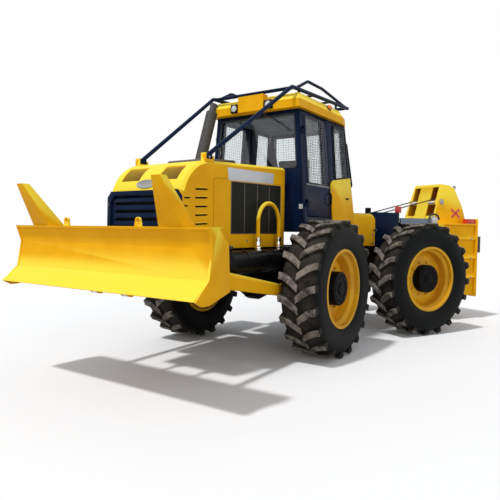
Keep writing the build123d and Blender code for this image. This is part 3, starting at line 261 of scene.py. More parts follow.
def plate(outline: Sequence[Sequence[float]], push: Sequence[float], bevel: float = 0.0) -> bpy.types.Object:
    """A flat outline pushed into a solid.

    Args:
        outline: The corners, in order.
        push: Which way and how far.
        bevel: Radius of the edges.

    Returns:
        The solid.
    """
    bpy.ops.mesh.primitive_circle_add(vertices=len(outline), fill_type="NGON")
    obj = bpy.context.object
    for vertex, corner in zip(obj.data.vertices, outline):
        vertex.co = Vector(corner)
    with editing(obj):
        bpy.ops.mesh.extrude_region_move(TRANSFORM_OT_translate={"value": tuple(push)})
        bpy.ops.mesh.select_all(action="SELECT")
        bpy.ops.mesh.normals_make_consistent(inside=False)
        if bevel > 0.0:
            bpy.ops.mesh.bevel(offset=bevel, segments=2, affect="EDGES")
    return obj


def spun(profile: Sequence[tuple[float, float]], steps: int = 96) -> bpy.types.Object:
    """A closed profile turned round the Z axis.

    Args:
        profile: Corners as radius and height, in order.
        steps: Facets round the turn.

    Returns:
        The turned solid.
    """
    bpy.ops.mesh.primitive_circle_add(vertices=len(profile), fill_type="NOTHING")
    obj = bpy.context.object
    for vertex, (radius, height) in zip(obj.data.vertices, profile):
        vertex.co = Vector((radius, 0.0, height))
    with editing(obj):
        bpy.ops.mesh.spin(steps=steps, angle=math.tau, center=(0, 0, 0), axis=(0, 0, 1))
        bpy.ops.mesh.select_all(action="SELECT")
        bpy.ops.mesh.remove_doubles(threshold=SPUN_MERGE)
        bpy.ops.mesh.normals_make_consistent(inside=False)
    return obj


def turned(
    profile: Sequence[Span], foot: Sequence[float], axis: Sequence[float], steps: int
) -> bpy.types.Object:
    """A profile turned round an axis.

    Args:
        profile: Corners as radius and height, in order.
        foot: Where height 0 is.
        axis: Which way height goes.
        steps: Facets round the turn.

    Returns:
        The turned solid, in place.
    """
    return settle(spun(profile, steps), aimed(Vector(foot), Vector(axis)))


def side_seats(
    hand: int, points: Sequence[Point], direction: Sequence[float]
) -> list[tuple[Vector, Vector]]:
    """Seats of fasteners on one side of the machine, which all face one way.

    Args:
        hand: 1 for the left side, -1 for the right one.
        points: The seats on the left side.
        direction: Which way the heads face.

    Returns:
        Point and direction of each seat.
    """
    return [(Vector((x, hand * y, z)), Vector(direction)) for x, y, z in points]


def bolt_heads(
    name: str, seats: Sequence[tuple[Vector, Vector]], radius: float = 0.011, height: float = 0.008
) -> bpy.types.Object:
    """Hexagon heads with washers, one on each seat.

    Args:
        name: Name of the joined piece.
        seats: Point and outward direction of each head.
        radius: Corner radius of the hexagon.
        height: How far a head stands up.

    Returns:
        All heads as one object.
    """
    middle = (0, 0, height * HEAD_MIDDLE)
    bpy.ops.mesh.primitive_cylinder_add(vertices=6, radius=radius, depth=height, location=middle)
    head = bpy.context.object
    bpy.ops.object.transform_apply(location=True, rotation=True, scale=True)
    with editing(head):
        bpy.ops.mesh.bevel(offset=height * HEAD_BREAK, segments=1, affect="EDGES")
    reach, thick = radius * WASHER_REACH, height * WASHER_HEIGHT
    bpy.ops.mesh.primitive_cylinder_add(vertices=16, radius=reach, depth=thick)
    master = join("bolt_master", [head, bpy.context.object])
    heads = [copy_of(master, aimed(point, direction)) for point, direction in seats]
    bpy.data.objects.remove(master)
    return join(name, heads)


def tube_along(
    points: Sequence[Sequence[float]], radius: float, bend: float = 0.05, closed: bool = False
) -> bpy.types.Object:
    """A rigid bent tube through points, rounded at each inner point.

    Args:
        points: Corners of the route.
        radius: Radius of the tube.
        bend: Radius of the rounding.
        closed: True for a ring, which is rounded at every point.

    Returns:
        The tube as a mesh.
    """
    route = [Vector(p) for p in points]
    if closed:
        route = [route[-1], *route, route[0]]
    path = [] if closed else [route[0]]
    for before, corner, after in zip(route, route[1:], route[2:]):
        way_in = (before - corner).normalized()
        way_out = (after - corner).normalized()
        for step in range(BEND_STEPS + 1):
            share = step / BEND_STEPS
            near = corner + way_in * bend * (1 - share)
            far = corner + way_out * bend * share
            path.append(near.lerp(far, share))
    if not closed:
        path.append(route[-1])
    curve = bpy.data.curves.new("tube_route", "CURVE")
    curve.dimensions = "3D"
    curve.bevel_depth = radius
    curve.bevel_resolution = TUBE_FACETS
    curve.use_fill_caps = not closed
    spline = curve.splines.new("POLY")
    spline.use_cyclic_u = closed
    spline.points.add(len(path) - 1)
    for point, place in zip(spline.points, path):
        point.co = (*place, 1.0)
    obj = bpy.data.objects.new("tube", curve)
    bpy.context.collection.objects.link(obj)
    make_active(obj)
    bpy.ops.object.convert(target="MESH")
    return bpy.context.object


def dress(
    obj: bpy.types.Object,
    name: str,
    material: bpy.types.Material,
    body: str,
    smooth: float = PLAIN_SMOOTH,
) -> bpy.types.Object:
    """Name a piece, give it its finish and hang it on its body.

    Args:
        obj: The modelled piece, in place.
        name: Its name.
        material: Its finish.
        body: The body that it rides on.
        smooth: Faces that meet under this angle, in degrees, shade as one.

    Returns:
        The same piece.
    """
    obj.name = name
    obj.data.name = name
    obj.data.materials.clear()
    obj.data.materials.append(material)
    make_active(obj)
    bpy.ops.object.shade_smooth_by_angle(angle=math.radians(smooth))
    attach(obj, body)
    log.info("piece %s on %s, %d faces", name, body, len(obj.data.polygons))
    return obj


def fitted(
    parts: Sequence[bpy.types.Object],
    name: str,
    finish: tuple[bpy.types.Material, str],
    half: Half,
    body: str | None = None,
    smooth: float = PLAIN_SMOOTH,
) -> bpy.types.Object:
    """Join parts drawn on the straight machine, put them in place and dress them.

    Args:
        parts: The parts, which are used up.
        name: Name of the piece.
        finish: Its material, and the record's slot, which is not used.
        half: The half that it stands on.
        body: The body that it rides on, if not the half itself.
        smooth: Faces that meet under this angle, in degrees, shade as one.

    Returns:
        The finished piece.
    """
    piece = settle(join(name, parts), half.place)
    return dress(piece, name, finish[0], body or half.value, smooth)


def lattice(
    surface: Callable[[float, float], Vector], cells: tuple[int, int], wire: float
) -> bpy.types.Object:
    """A net of thin wires over a surface.

    Args:
        surface: Point for two shares from 0 to 1.
        cells: Openings each way.
        wire: Thickness of the wires.

    Returns:
        The net.
    """
    bpy.ops.mesh.primitive_grid_add(x_subdivisions=cells[0], y_subdivisions=cells[1], size=1.0)
    obj = bpy.context.object
    for vertex in obj.data.vertices:
        vertex.co = surface(vertex.co.x + 0.5, vertex.co.y + 0.5)
    wires = obj.modifiers.new("wires", "WIREFRAME")
    wires.thickness = wire
    wires.use_even_offset = False
    wires.use_boundary = True
    make_active(obj)
    bpy.ops.object.modifier_apply(modifier=wires.name)
    return obj


def pane_net(corners: Sequence[Vector], cells: tuple[int, int], wire: float) -> bpy.types.Object:
    """A net of thin wires over a four-cornered pane.

    Args:
        corners: The corners, in order.
        cells: Openings each way.
        wire: Thickness of the wires.

    Returns:
        The net.
    """

    def between(s: float, t: float) -> Vector:
        """A point between the four corners."""
        return corners[0].lerp(corners[1], s).lerp(corners[3].lerp(corners[2], s), t)

    return lattice(between, cells, wire)


def stuffed(
    low: Sequence[float],
    high: Sequence[float],
    crown: float,
    channels: Sequence[float],
    edge: float = 0.030,
    seam: Span = (0.05, 0.007),
    waist: Span = (0.010, 0.012),
) -> bpy.types.Object:
    """A crowned cushion whose sides pull in, with sewn channels across its top.

    Args:
        low: Lowest corner.
        high: Highest corner.
        crown: How far its top rises in the middle.
        channels: Where channels run along X, as shares of the half width from -1 to 1.
        edge: Radius of its edges.
        seam: Width of a channel, as a share of the half width, and its depth.
        waist: How far its sides pull in along X and along Y.

    Returns:
        The cushion.
    """
    obj = block(low, high, bevel=edge, segments=4)
    with editing(obj):
        bpy.ops.mesh.subdivide(number_cuts=5)
    middle = (Vector(low) + Vector(high)) / 2
    half = (Vector(high) - Vector(low)) / 2
    for vertex in obj.data.vertices:
        u, v, w = ((vertex.co[axis] - middle[axis]) / half[axis] for axis in range(3))
        bulge = max(0.0, 1 - u * u) * max(0.0, 1 - v * v)
        sewn = sum(math.exp(-(((v - channel) / seam[0]) ** 2)) for channel in channels)
        vertex.co.z += max(0.0, w) * (crown * bulge - seam[1] * sewn * max(0.0, 1 - u**6))
        vertex.co.y -= v * waist[1] * max(0.0, 1 - u * u) * (1 - w * w)
        vertex.co.x -= u * waist[0] * max(0.0, 1 - v * v) * (1 - w * w)
    with editing(obj):
        bpy.ops.mesh.vertices_smooth(factor=0.5, repeat=2)
    return obj


def slot_of(node: str) -> str:
    """The record's material slot of a CAD node."""
    for row in frame["record"]["subparts"]:
        if row["node"] == node:
            return row["material_slot"]
    raise KeyError(node)


def body_of(node: str) -> str:
    """The body that carries a CAD node."""
    for body, nodes in frame["record"]["behaviour"]["bodies"].items():
        if node in nodes:
            return body
    raise KeyError(node)


def softened(node: str, material: bpy.types.Material, radius: float = 0.004) -> bpy.types.Object:
    """A copy of a CAD node with its edges rounded, which stands for the node.

    Args:
        node: The CAD node.
        material: The finish of the copy.
        radius: Radius of the edges, 0 to leave them sharp.

    Returns:
        The rounded piece.
    """
    source = frame["nodes"][node]
    obj = source.copy()
    obj.data = source.data.copy()
    obj.parent = None
    obj.matrix_world = Matrix.Identity(4)
    bpy.context.collection.objects.link(obj)
    with editing(obj):
        bpy.ops.mesh.remove_doubles(threshold=NODE_MERGE)
        bpy.ops.mesh.dissolve_limited(angle_limit=math.radians(FLAT_ANGLE), use_dissolve_boundaries=False)
    if radius > 0.0:
        rounding = obj.modifiers.new("edge_round", "BEVEL")
        rounding.width = radius
        rounding.segments = 2
        rounding.limit_method = "ANGLE"
        rounding.angle_limit = math.radians(EDGE_ANGLE)
        rounding.use_clamp_overlap = True
        rounding.harden_normals = False
        make_active(obj)
        bpy.ops.object.modifier_apply(modifier=rounding.name)
    dress(obj, f"{node}_body", material, body_of(node), smooth=SOFTENED_SMOOTH)
    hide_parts(node)
    return obj


class Sheet:
    """Adds nodes and links to one node tree."""

    def __init__(self, tree: bpy.types.NodeTree) -> None:
        """Keep the tree that nodes go into."""
        self.tree = tree

    def add(self, kind: str, inputs: dict | None = None, **attributes: object) -> bpy.types.Node:
        """Add one node.

        Args:
            kind: The node's type.
            inputs: Socket name or number to a value, or to the socket that feeds it.
            attributes: Properties of the node itself.

        Returns:
            The new node.
        """
        node = self.tree.nodes.new(kind)
        for key, value in attributes.items():
            setattr(node, key, value)
        for key, value in (inputs or {}).items():
            if isinstance(value, bpy.types.NodeSocket):
                self.link(value, node.inputs[key])
            else:
                node.inputs[key].default_value = value
        return node

    def link(self, source: bpy.types.NodeSocket, target: bpy.types.NodeSocket) -> None:
        """Feed one socket from another."""
        self.tree.links.new(source, target)

    def math(
        self, operation: str, first: object, second: object = 0.0, clamp: bool = False
    ) -> bpy.types.NodeSocket:
        """Add a math node and return its value."""
        node = self.add("ShaderNodeMath", {0: first, 1: second}, operation=operation, use_clamp=clamp)
        return node.outputs[0]

    def mix(self, factor: object, first: object, second: object) -> bpy.types.NodeSocket:
        """Add a colour mix and return its result."""
        node = self.add("ShaderNodeMix", {0: factor, 6: first, 7: second}, data_type="RGBA")
        return node.outputs[2]

    def ramp(self, value: bpy.types.NodeSocket, low: float, high: float) -> bpy.types.NodeSocket:
        """Map a value smoothly from 0 at low to 1 at high."""
        span = {"Value": value, "From Min": low, "From Max": high}
        return self.add("ShaderNodeMapRange", span, interpolation_type="SMOOTHSTEP").outputs["Result"]

    def noise(
        self, place: object, scale: object, detail: float, roughness: float = 0.5
    ) -> bpy.types.NodeSocket:
        """Add a noise texture and return its value."""
        look = {"Vector": place, "Scale": scale, "Detail": detail, "Roughness": roughness}
        return self.add("ShaderNodeTexNoise", look).outputs["Fac"]

    def bump(self, target: bpy.types.Node, height: object, strength: float, distance: float) -> None:
        """Give a shader a bump of a height."""
        look = {"Strength": strength, "Distance": distance, "Height": height}
        self.link(self.add("ShaderNodeBump", look).outputs["Normal"], target.inputs["Normal"])


def rgba(colour: Sequence[float]) -> tuple[float, float, float, float]:
    """A linear colour with full alpha."""
    return (colour[0], colour[1], colour[2], 1.0)


def new_material(name: str) -> tuple[bpy.types.Material, Sheet, bpy.types.Node]:
    """Make a material with nodes.

    Args:
        name: Its name.

    Returns:
        The material, the sheet of its nodes and its Principled shader.
    """
    material = bpy.data.materials.new(name)
    material.use_nodes = True
    return material, Sheet(material.node_tree), material.node_tree.nodes["Principled BSDF"]


def new_group(
    name: str, inputs: dict[str, tuple[str, object]], outputs: dict[str, str]
) -> tuple[Sheet, dict]:
    """Make a shader node group with named sockets.

    Args:
        name: The group's name.
        inputs: Socket name to its type and default.
        outputs: Socket name to its type.

    Returns:
        The sheet of the group, and its input sockets and output node by name.
    """
    tree = bpy.data.node_groups.new(name, "ShaderNodeTree")
    for label, (kind, default) in inputs.items():
        made = tree.interface.new_socket(name=label, in_out="INPUT", socket_type=kind)
        if default is not None:
            made.default_value = default
    for label, kind in outputs.items():
        tree.interface.new_socket(name=label, in_out="OUTPUT", socket_type=kind)
    sheet = Sheet(tree)
    source = sheet.add("NodeGroupInput")
    sink = sheet.add("NodeGroupOutput")
    return sheet, {"in": source.outputs, "out": sink.inputs}


class Effects:
    """The shader node groups that several finishes share.

    A texture is given as its scale, detail and roughness, without the scale where that is an input.
    """

    drift_scale = 3.0
    drift_heights = (0.2, 2.2)
    drift = (8.0, 0.62)
    drift_patch = (0.42, 0.72)
    drift_film = 0.25
    rub_width = 0.006
    rub_samples = 4
    rub_turn = (0.02, 0.2)
    speck = (38.0, 6.0, 0.7)
    speck_patch = (0.44, 0.66)
    fine_scale = 220.0
    fine_detail = 3.0
    coarse_scale = 4.0
    coarse_detail = 4.0
    coarse_share = 0.6

    def __init__(self) -> None:
        """Build every group once."""
        self.grime = self.build_grime()
        self.edges = self.build_edges()
        self.grain = self.build_grain()

    def build_grime(self) -> bpy.types.NodeTree:
        """Dust that gathers low down and in drifts.

        Returns:
            The group, with a mask from 0 to 1.
        """
        low, high = self.drift_heights
        sheet, ends = new_group(
            "dust_drift",
            {"Vector": ("NodeSocketVector", None), "Scale": ("NodeSocketFloat", self.drift_scale),
             "Low": ("NodeSocketFloat", low), "High": ("NodeSocketFloat", high)},
            {"Mask": "NodeSocketFloat"},
        )
        fed = ends["in"]
        cloud = sheet.noise(fed["Vector"], fed["Scale"], *self.drift)
        place = sheet.add("ShaderNodeSeparateXYZ", {0: fed["Vector"]})
        height = sheet.add("ShaderNodeMapRange", {"Value": place.outputs["Z"], "From Min": fed["High"],
                                                  "From Max": fed["Low"]})
        patch = sheet.math("ADD", sheet.ramp(cloud, *self.drift_patch), self.drift_film)
        sheet.link(sheet.math("MULTIPLY", patch, height.outputs["Result"], clamp=True), ends["out"]["Mask"])
        return sheet.tree

    def build_edges(self) -> bpy.types.NodeTree:
        """Paint rubbed away along edges and corners.

        Returns:
            The group, with a mask from 0 to 1.
        """
        sheet, ends = new_group(
            "edge_rub",
            {"Vector": ("NodeSocketVector", None), "Width": ("NodeSocketFloat", self.rub_width)},
            {"Mask": "NodeSocketFloat"},
        )
        bevel = sheet.add("ShaderNodeBevel", {"Radius": ends["in"]["Width"]}, samples=self.rub_samples)
        shape = sheet.add("ShaderNodeNewGeometry")
        facing = sheet.add("ShaderNodeVectorMath", {0: bevel.outputs["Normal"], 1: shape.outputs["Normal"]},
                           operation="DOT_PRODUCT")
        away = sheet.ramp(sheet.math("SUBTRACT", 1.0, facing.outputs["Value"]), *self.rub_turn)
        speck = sheet.ramp(sheet.noise(ends["in"]["Vector"], *self.speck), *self.speck_patch)
        sheet.link(sheet.math("MULTIPLY", away, speck), ends["out"]["Mask"])
        return sheet.tree

    def build_grain(self) -> bpy.types.NodeTree:
        """Fine unevenness of a sprayed or cast surface.

        Returns:
            The group, with a height and a slow cloud.
        """
        sheet, ends = new_group(
            "surface_grain",
            {"Vector": ("NodeSocketVector", None), "Fine": ("NodeSocketFloat", self.fine_scale),
             "Coarse": ("NodeSocketFloat", self.coarse_scale)},
            {"Height": "NodeSocketFloat", "Cloud": "NodeSocketFloat"},
        )
        fed = ends["in"]
        fine = sheet.noise(fed["Vector"], fed["Fine"], self.fine_detail)
        coarse = sheet.noise(fed["Vector"], fed["Coarse"], self.coarse_detail)
        height = sheet.math("ADD", fine, sheet.math("MULTIPLY", coarse, self.coarse_share))
        sheet.link(height, ends["out"]["Height"])
        sheet.link(coarse, ends["out"]["Cloud"])
        return sheet.tree


@dataclass(frozen=True)
class PaintFinish:
    """A painted or bare metal surface with dust, rubbed edges and fine grain, and, where a tone is given,
    painted light that makes faces turned to the sky paler.
    """

    name: str
    colour: Point
    shade: Point
    rub: Point
    dust: Point = (0.30, 0.235, 0.17)
    roughness: float = 0.38
    metallic: float = 0.0
    coat: float = 0.25
    dustiness: float = 0.35
    rubbing: float = 0.6
    grain: float = 0.04
    fine: float = 220.0
    # Painted light: a paler tone on faces turned to the sky, ramped in over a range of the normal's Z, stands
    # for the key light from above
    painted_light_tone: Point | None = None
    specular: float = 0.5
    coat_roughness: float = 0.12
    cloud_patch: Span = (0.35, 0.65)
    painted_light_ramp: Span = (0.085, 0.23)
    dust_dulling: float = 0.5
    cloud_dulling: float = 0.06
    grain_depth: float = 0.002

    def build(self, effects: Effects) -> bpy.types.Material:
        """Make the material.

        Args:
            effects: The shared node groups.

        Returns:
            The material.
        """
        material, sheet, shader = new_material(self.name)
        coordinates = sheet.add("ShaderNodeTexCoord").outputs
        place = coordinates["Object"]
        trees = (effects.grain, effects.grime, effects.edges)
        grain, grime, edges = (sheet.add("ShaderNodeGroup", node_tree=tree) for tree in trees)
        for group in (grain, grime, edges):
            sheet.link(place, group.inputs["Vector"])
        grain.inputs["Fine"].default_value = self.fine
        cloud = sheet.ramp(grain.outputs["Cloud"], *self.cloud_patch)
        colour = sheet.mix(cloud, rgba(self.colour), rgba(self.shade))
        if self.painted_light_tone is not None:
            # painted light: faces turned to the sky get a paler tone, standing for the high key light that
            # falls on them
            facing = sheet.add("ShaderNodeSeparateXYZ", {0: coordinates["Normal"]})
            painted_light_ramp = sheet.ramp(facing.outputs["Z"], *self.painted_light_ramp)
            colour = sheet.mix(painted_light_ramp, colour, rgba(self.painted_light_tone))
        dusty = sheet.math("MULTIPLY", grime.outputs["Mask"], self.dustiness, clamp=True)
        colour = sheet.mix(dusty, colour, rgba(self.dust))
        rubbed = sheet.math("MULTIPLY", edges.outputs["Mask"], self.rubbing, clamp=True)
        sheet.link(sheet.mix(rubbed, colour, rgba(self.rub)), shader.inputs["Base Color"])
        rough = sheet.math("ADD", sheet.math("MULTIPLY", dusty, self.dust_dulling), self.roughness)
        rough = sheet.math("ADD", rough, sheet.math("MULTIPLY", cloud, self.cloud_dulling), clamp=True)
        sheet.link(rough, shader.inputs["Roughness"])
        shader.inputs["Metallic"].default_value = self.metallic
        shader.inputs["Specular IOR Level"].default_value = self.specular
        shader.inputs["Coat Weight"].default_value = self.coat
        shader.inputs["Coat Roughness"].default_value = self.coat_roughness
        sheet.bump(shader, grain.outputs["Height"], self.grain, self.grain_depth)
        return material


@dataclass(frozen=True)
class RubberFinish:
    """Tyre rubber, dark on the wall and dusty on the tread, placed round one wheel."""

    name: str
    centre: Point
    turn: float
    wall: Point = (0.004, 0.005, 0.0045)
    earth: Point = (0.048, 0.041, 0.034)
    pale: Point = (0.300, 0.262, 0.226)
    tread: Span = (0.705, 0.755)
    tips: Span = (0.767, 0.779)
    mud: Point = (9.0, 9.0, 0.68)
    mud_patch: Span = (0.36, 0.62)
    mud_share: float = 0.65
    tread_film: float = 0.22
    tip_film: float = 0.10
    grit: Point = (90.0, 5.0, 0.6)
    grit_patch: Span = (0.55, 0.75)
    grit_share: float = 0.10
    roughness: float = 0.50
    mud_dulling: float = 0.35
    specular: float = 0.07
    ring_pitch: float = 420.0
    ring_fade: Span = (0.60, 0.62)
    ring_share: float = 0.35
    bump_look: Span = (0.28, 0.004)

    def build(self) -> bpy.types.Material:
        """Make the material.

        Returns:
            The material, for the tyre at this centre.
        """
        material, sheet, shader = new_material(self.name)
        place = sheet.add("ShaderNodeTexCoord").outputs["Object"]
        local = sheet.add("ShaderNodeMapping", {"Vector": place, "Location": self.centre,
                                                "Rotation": (0.0, 0.0, self.turn)}, vector_type="TEXTURE")
        axes = sheet.add("ShaderNodeSeparateXYZ", {0: local.outputs[0]}).outputs
        squares = [sheet.math("MULTIPLY", axes[axis], axes[axis]) for axis in ("X", "Z")]
        radius = sheet.math("SQRT", sheet.math("ADD", *squares))
        patchy = sheet.ramp(sheet.noise(place, *self.mud), *self.mud_patch)
        patchy = sheet.math("MULTIPLY", patchy, self.mud_share)
        grit = sheet.noise(place, *self.grit)
        tread = sheet.ramp(radius, *self.tread)
        tips = sheet.ramp(radius, *self.tips)
        brown = sheet.math("MULTIPLY", tread, sheet.math("ADD", patchy, self.tread_film), clamp=True)
        colour = sheet.mix(brown, rgba(self.wall), rgba(self.earth))
        worn = sheet.math("MULTIPLY", tips, sheet.math("ADD", patchy, self.tip_film), clamp=True)
        colour = sheet.mix(worn, colour, rgba(self.pale))
        speckle = sheet.math("MULTIPLY", sheet.ramp(grit, *self.grit_patch), self.grit_share)
        sheet.link(sheet.mix(speckle, colour, rgba(self.earth)), shader.inputs["Base Color"])
        rough = sheet.math("ADD", sheet.math("MULTIPLY", brown, self.mud_dulling), self.roughness, clamp=True)
        sheet.link(rough, shader.inputs["Roughness"])
        shader.inputs["Specular IOR Level"].default_value = self.specular
        rings = sheet.math("SINE", sheet.math("MULTIPLY", radius, self.ring_pitch))
        wall_only = sheet.math("SUBTRACT", 1.0, sheet.ramp(radius, *self.ring_fade))
        rings = sheet.math("MULTIPLY", sheet.math("MULTIPLY", rings, wall_only), self.ring_share)
        sheet.bump(shader, sheet.math("ADD", rings, grit), *self.bump_look)
        return material


@dataclass(frozen=True)
class GlassFinish:
    """A clear or coloured pane or lens."""

    name: str
    colour: Point
    roughness: float = 0.02
    smear: float = 0.03
    smears: Point = (7.0, 7.0, 0.65)
    smear_patch: Span = (0.45, 0.75)
    ior: float = 1.45

    def build(self) -> bpy.types.Material:
        """Make the material.

        Returns:
            The material.
        """
        material, sheet, shader = new_material(self.name)
        place = sheet.add("ShaderNodeTexCoord").outputs["Object"]
        smears = sheet.ramp(sheet.noise(place, *self.smears), *self.smear_patch)
        rough = sheet.math("ADD", sheet.math("MULTIPLY", smears, self.smear), self.roughness)
        sheet.link(rough, shader.inputs["Roughness"])
        shader.inputs["Base Color"].default_value = rgba(self.colour)
        shader.inputs["Transmission Weight"].default_value = 1.0
        shader.inputs["IOR"].default_value = self.ior
        return material


@dataclass(frozen=True)
class ClothFinish:
    """Woven or grained seat covering and moulded trim."""

    name: str
    colour: Point
    weave: float = 260.0
    depth: float = 0.25
    roughness: float = 0.82
    cloud: Span = (12.0, 4.0)
    cloud_patch: Span = (0.4, 0.7)
    fading: Span = (1.7, 0.01)
    weave_depth: float = 0.002

    def build(self) -> bpy.types.Material:
        """Make the material.

        Returns:
            The material.
        """
        material, sheet, shader = new_material(self.name)
        place = sheet.add("ShaderNodeTexCoord").outputs["Object"]
        cells = sheet.add("ShaderNodeTexVoronoi", {"Vector": place, "Scale": self.weave})
        gain, lift = self.fading
        lighter = tuple(min(1.0, part * gain + lift) for part in self.colour)
        cloud = sheet.ramp(sheet.noise(place, *self.cloud), *self.cloud_patch)
        sheet.link(sheet.mix(cloud, rgba(self.colour), rgba(lighter)), shader.inputs["Base Color"])
        shader.inputs["Roughness"].default_value = self.roughness
        sheet.bump(shader, cells.outputs["Distance"], self.depth, self.weave_depth)
        return material


class Palette:
    """Every finish of the machine, built once."""

    def __init__(self) -> None:
        """Build the shared effects and the materials."""
        effects = Effects()
        # The paler tone on the yellow's upward faces is painted light
        self.yellow = PaintFinish(
            "yellow_enamel", (0.870, 0.440, 0.003), (0.820, 0.395, 0.003), (0.34, 0.19, 0.04),
            roughness=0.48, coat=0.0, dustiness=0.03, rubbing=0.25, painted_light_tone=(0.95, 0.70, 0.050),
            specular=0.10,
        ).build(effects)
        self.rim_yellow = PaintFinish(
            "rim_enamel", (0.740, 0.390, 0.003), (0.640, 0.310, 0.003), (0.25, 0.18, 0.1),
            roughness=0.45, coat=0.0, dustiness=0.14, rubbing=0.3, specular=0.25,
        ).build(effects)
        self.navy = PaintFinish(
            "navy_enamel", (0.003, 0.010, 0.034), (0.005, 0.013, 0.042), (0.03, 0.04, 0.08),
            roughness=0.26, coat=0.0, dustiness=0.006, rubbing=0.12, specular=0.05,
        ).build(effects)
        self.black = PaintFinish(
            "black_enamel", (0.003, 0.003, 0.004), (0.005, 0.005, 0.006), (0.05, 0.045, 0.04),
            roughness=0.26, coat=0.0, dustiness=0.008, rubbing=0.2, specular=0.07,
        ).build(effects)
        self.hub_black = PaintFinish(
            "hub_enamel", (0.002, 0.002, 0.003), (0.003, 0.004, 0.004), (0.02, 0.02, 0.02),
            roughness=0.45, coat=0.0, dustiness=0.012, rubbing=0.2, specular=0.06,
        ).build(effects)
        self.iron = PaintFinish(
            "dark_iron", (0.035, 0.033, 0.032), (0.055, 0.050, 0.046), (0.22, 0.20, 0.18),
            roughness=0.58, coat=0.0, grain=0.25, fine=90.0,
        ).build(effects)
        self.chrome = PaintFinish(
            "bright_rod", (0.72, 0.73, 0.75), (0.66, 0.67, 0.69), (0.8, 0.8, 0.8), roughness=0.12,
            metallic=1.0, coat=0.0, dustiness=0.05, rubbing=0.0, grain=0.01,
        ).build(effects)
        self.steel = PaintFinish(
            "worn_steel", (0.33, 0.32, 0.31), (0.22, 0.21, 0.20), (0.5, 0.48, 0.46), roughness=0.40,
            metallic=0.85, coat=0.0, dustiness=0.3,
        ).build(effects)
        self.silver = PaintFinish(
            "silver_plate", (0.62, 0.64, 0.66), (0.56, 0.58, 0.60), (0.4, 0.4, 0.4), roughness=0.42,
            dustiness=0.12, rubbing=0.1,
        ).build(effects)
        self.mesh = PaintFinish(
            "screen_sheet", (0.010, 0.011, 0.008), (0.015, 0.015, 0.010), (0.08, 0.07, 0.05),
            roughness=0.55, coat=0.0, dustiness=0.06, grain=0.6, fine=140.0, specular=0.08,
        ).build(effects)
        self.olive = PaintFinish(
            "vent_wire", (0.60, 0.38, 0.020), (0.42, 0.22, 0.014), (0.3, 0.2, 0.08), roughness=0.5,
            coat=0.0, dustiness=0.2,
        ).build(effects)
        # Painted shade: the dark brown of the gaps round the hood's side doors
        self.seam = PaintFinish(
            "seam_shadow", (0.20, 0.10, 0.006), (0.16, 0.08, 0.005), (0.2, 0.1, 0.01), roughness=0.6,
            coat=0.0, dustiness=0.1, specular=0.2,
        ).build(effects)
        self.cable = PaintFinish(
            "dark_rope", (0.050, 0.050, 0.055), (0.035, 0.035, 0.040), (0.2, 0.2, 0.2), roughness=0.45,
            metallic=0.5, coat=0.0, grain=0.4,
        ).build(effects)
        self.brown = PaintFinish(
            "cover_sheet", (0.030, 0.022, 0.014), (0.042, 0.030, 0.018), (0.12, 0.1, 0.07),
            roughness=0.36, coat=0.2, dustiness=0.2,
        ).build(effects)
        self.wire = PaintFinish(
            "guard_wire", (0.20, 0.21, 0.22), (0.14, 0.15, 0.16), (0.4, 0.4, 0.4), roughness=0.45,
            coat=0.0, dustiness=0.1,
        ).build(effects)
        self.slate = PaintFinish(
            "slate_enamel", (0.115, 0.165, 0.245), (0.135, 0.185, 0.265), (0.2, 0.2, 0.2),
            roughness=0.34, coat=0.2, dustiness=0.1, rubbing=0.2,
        ).build(effects)
        self.pewter = PaintFinish(
            "pewter_badge", (0.24, 0.24, 0.23), (0.30, 0.30, 0.28), (0.4, 0.4, 0.4), roughness=0.38,
            metallic=0.3, dustiness=0.1, rubbing=0.1,
        ).build(effects)
        self.lining = ClothFinish(
            "cab_lining_cloth", (0.100, 0.135, 0.185), weave=300.0, depth=0.1,
        ).build()
        self.rubber = ClothFinish(
            "black_rubber", (0.012, 0.012, 0.012), weave=120.0, depth=0.1, roughness=0.6,
        ).build()
        self.seat = ClothFinish("seat_cloth", (0.035, 0.038, 0.045)).build()
        self.trim = ClothFinish(
            "moulded_trim", (0.03, 0.031, 0.034), weave=520.0, depth=0.15, roughness=0.6,
        ).build()
        self.glass = GlassFinish("cab_pane", (0.90, 0.93, 0.94)).build()
        self.lens = GlassFinish("lamp_glass", (0.96, 0.97, 0.98), roughness=0.06).build()
        self.red = PaintFinish(
            "red_lens", (0.62, 0.020, 0.014), (0.52, 0.016, 0.012), (0.4, 0.1, 0.1), roughness=0.18,
            dustiness=0.1,
        ).build(effects)
        self.amber = PaintFinish(
            "amber_lens", (0.80, 0.20, 0.010), (0.72, 0.17, 0.010), (0.5, 0.2, 0.1), roughness=0.18,
            dustiness=0.1,
        ).build(effects)

    def by_slot(self, slot: str) -> bpy.types.Material:
        """The finish of a slot of the record."""
        table = {
            "yellow_paint": self.yellow, "wheel_yellow": self.rim_yellow, "navy_paint": self.navy,
            "black_paint": self.black, "chrome": self.chrome, "glass": self.glass, "dark_iron": self.iron,
            "steel_cable": self.steel, "dark_mesh": self.mesh, "dark_trim": self.trim, "lamp_lens": self.lens,
            "red_lens": self.red, "tyre_rubber": self.rubber,
        }
        return table[slot]


@dataclass
class Corner:
    """One wheel's place on the machine."""

    name: str
    half: Half
    axle_x: float
    hand: int

    @property
    def body(self) -> str:
        """The body that turns with the wheel."""
        return f"wheel_{self.name}"

    @property
    def centre(self) -> Vector:
        """The wheel's centre on the straight machine."""
        return Vector((self.axle_x, self.hand * HALF_TRACK, AXLE_HEIGHT))

    def facing(self, hand: int) -> Matrix:
        """Matrix from the wheel's own axes, which turn about Z, to the scene, with +Z to one side."""
        side = Matrix.Rotation(math.radians(-90 * hand), 4, "X")
        return self.half.place @ Matrix.Translation(self.centre) @ side


CORNERS = (
    Corner("front_left", Half.FRONT, 0.0, 1),
    Corner("front_right", Half.FRONT, 0.0, -1),
    Corner("rear_left", Half.REAR, -WHEELBASE, 1),
    Corner("rear_right", Half.REAR, -WHEELBASE, -1),
)


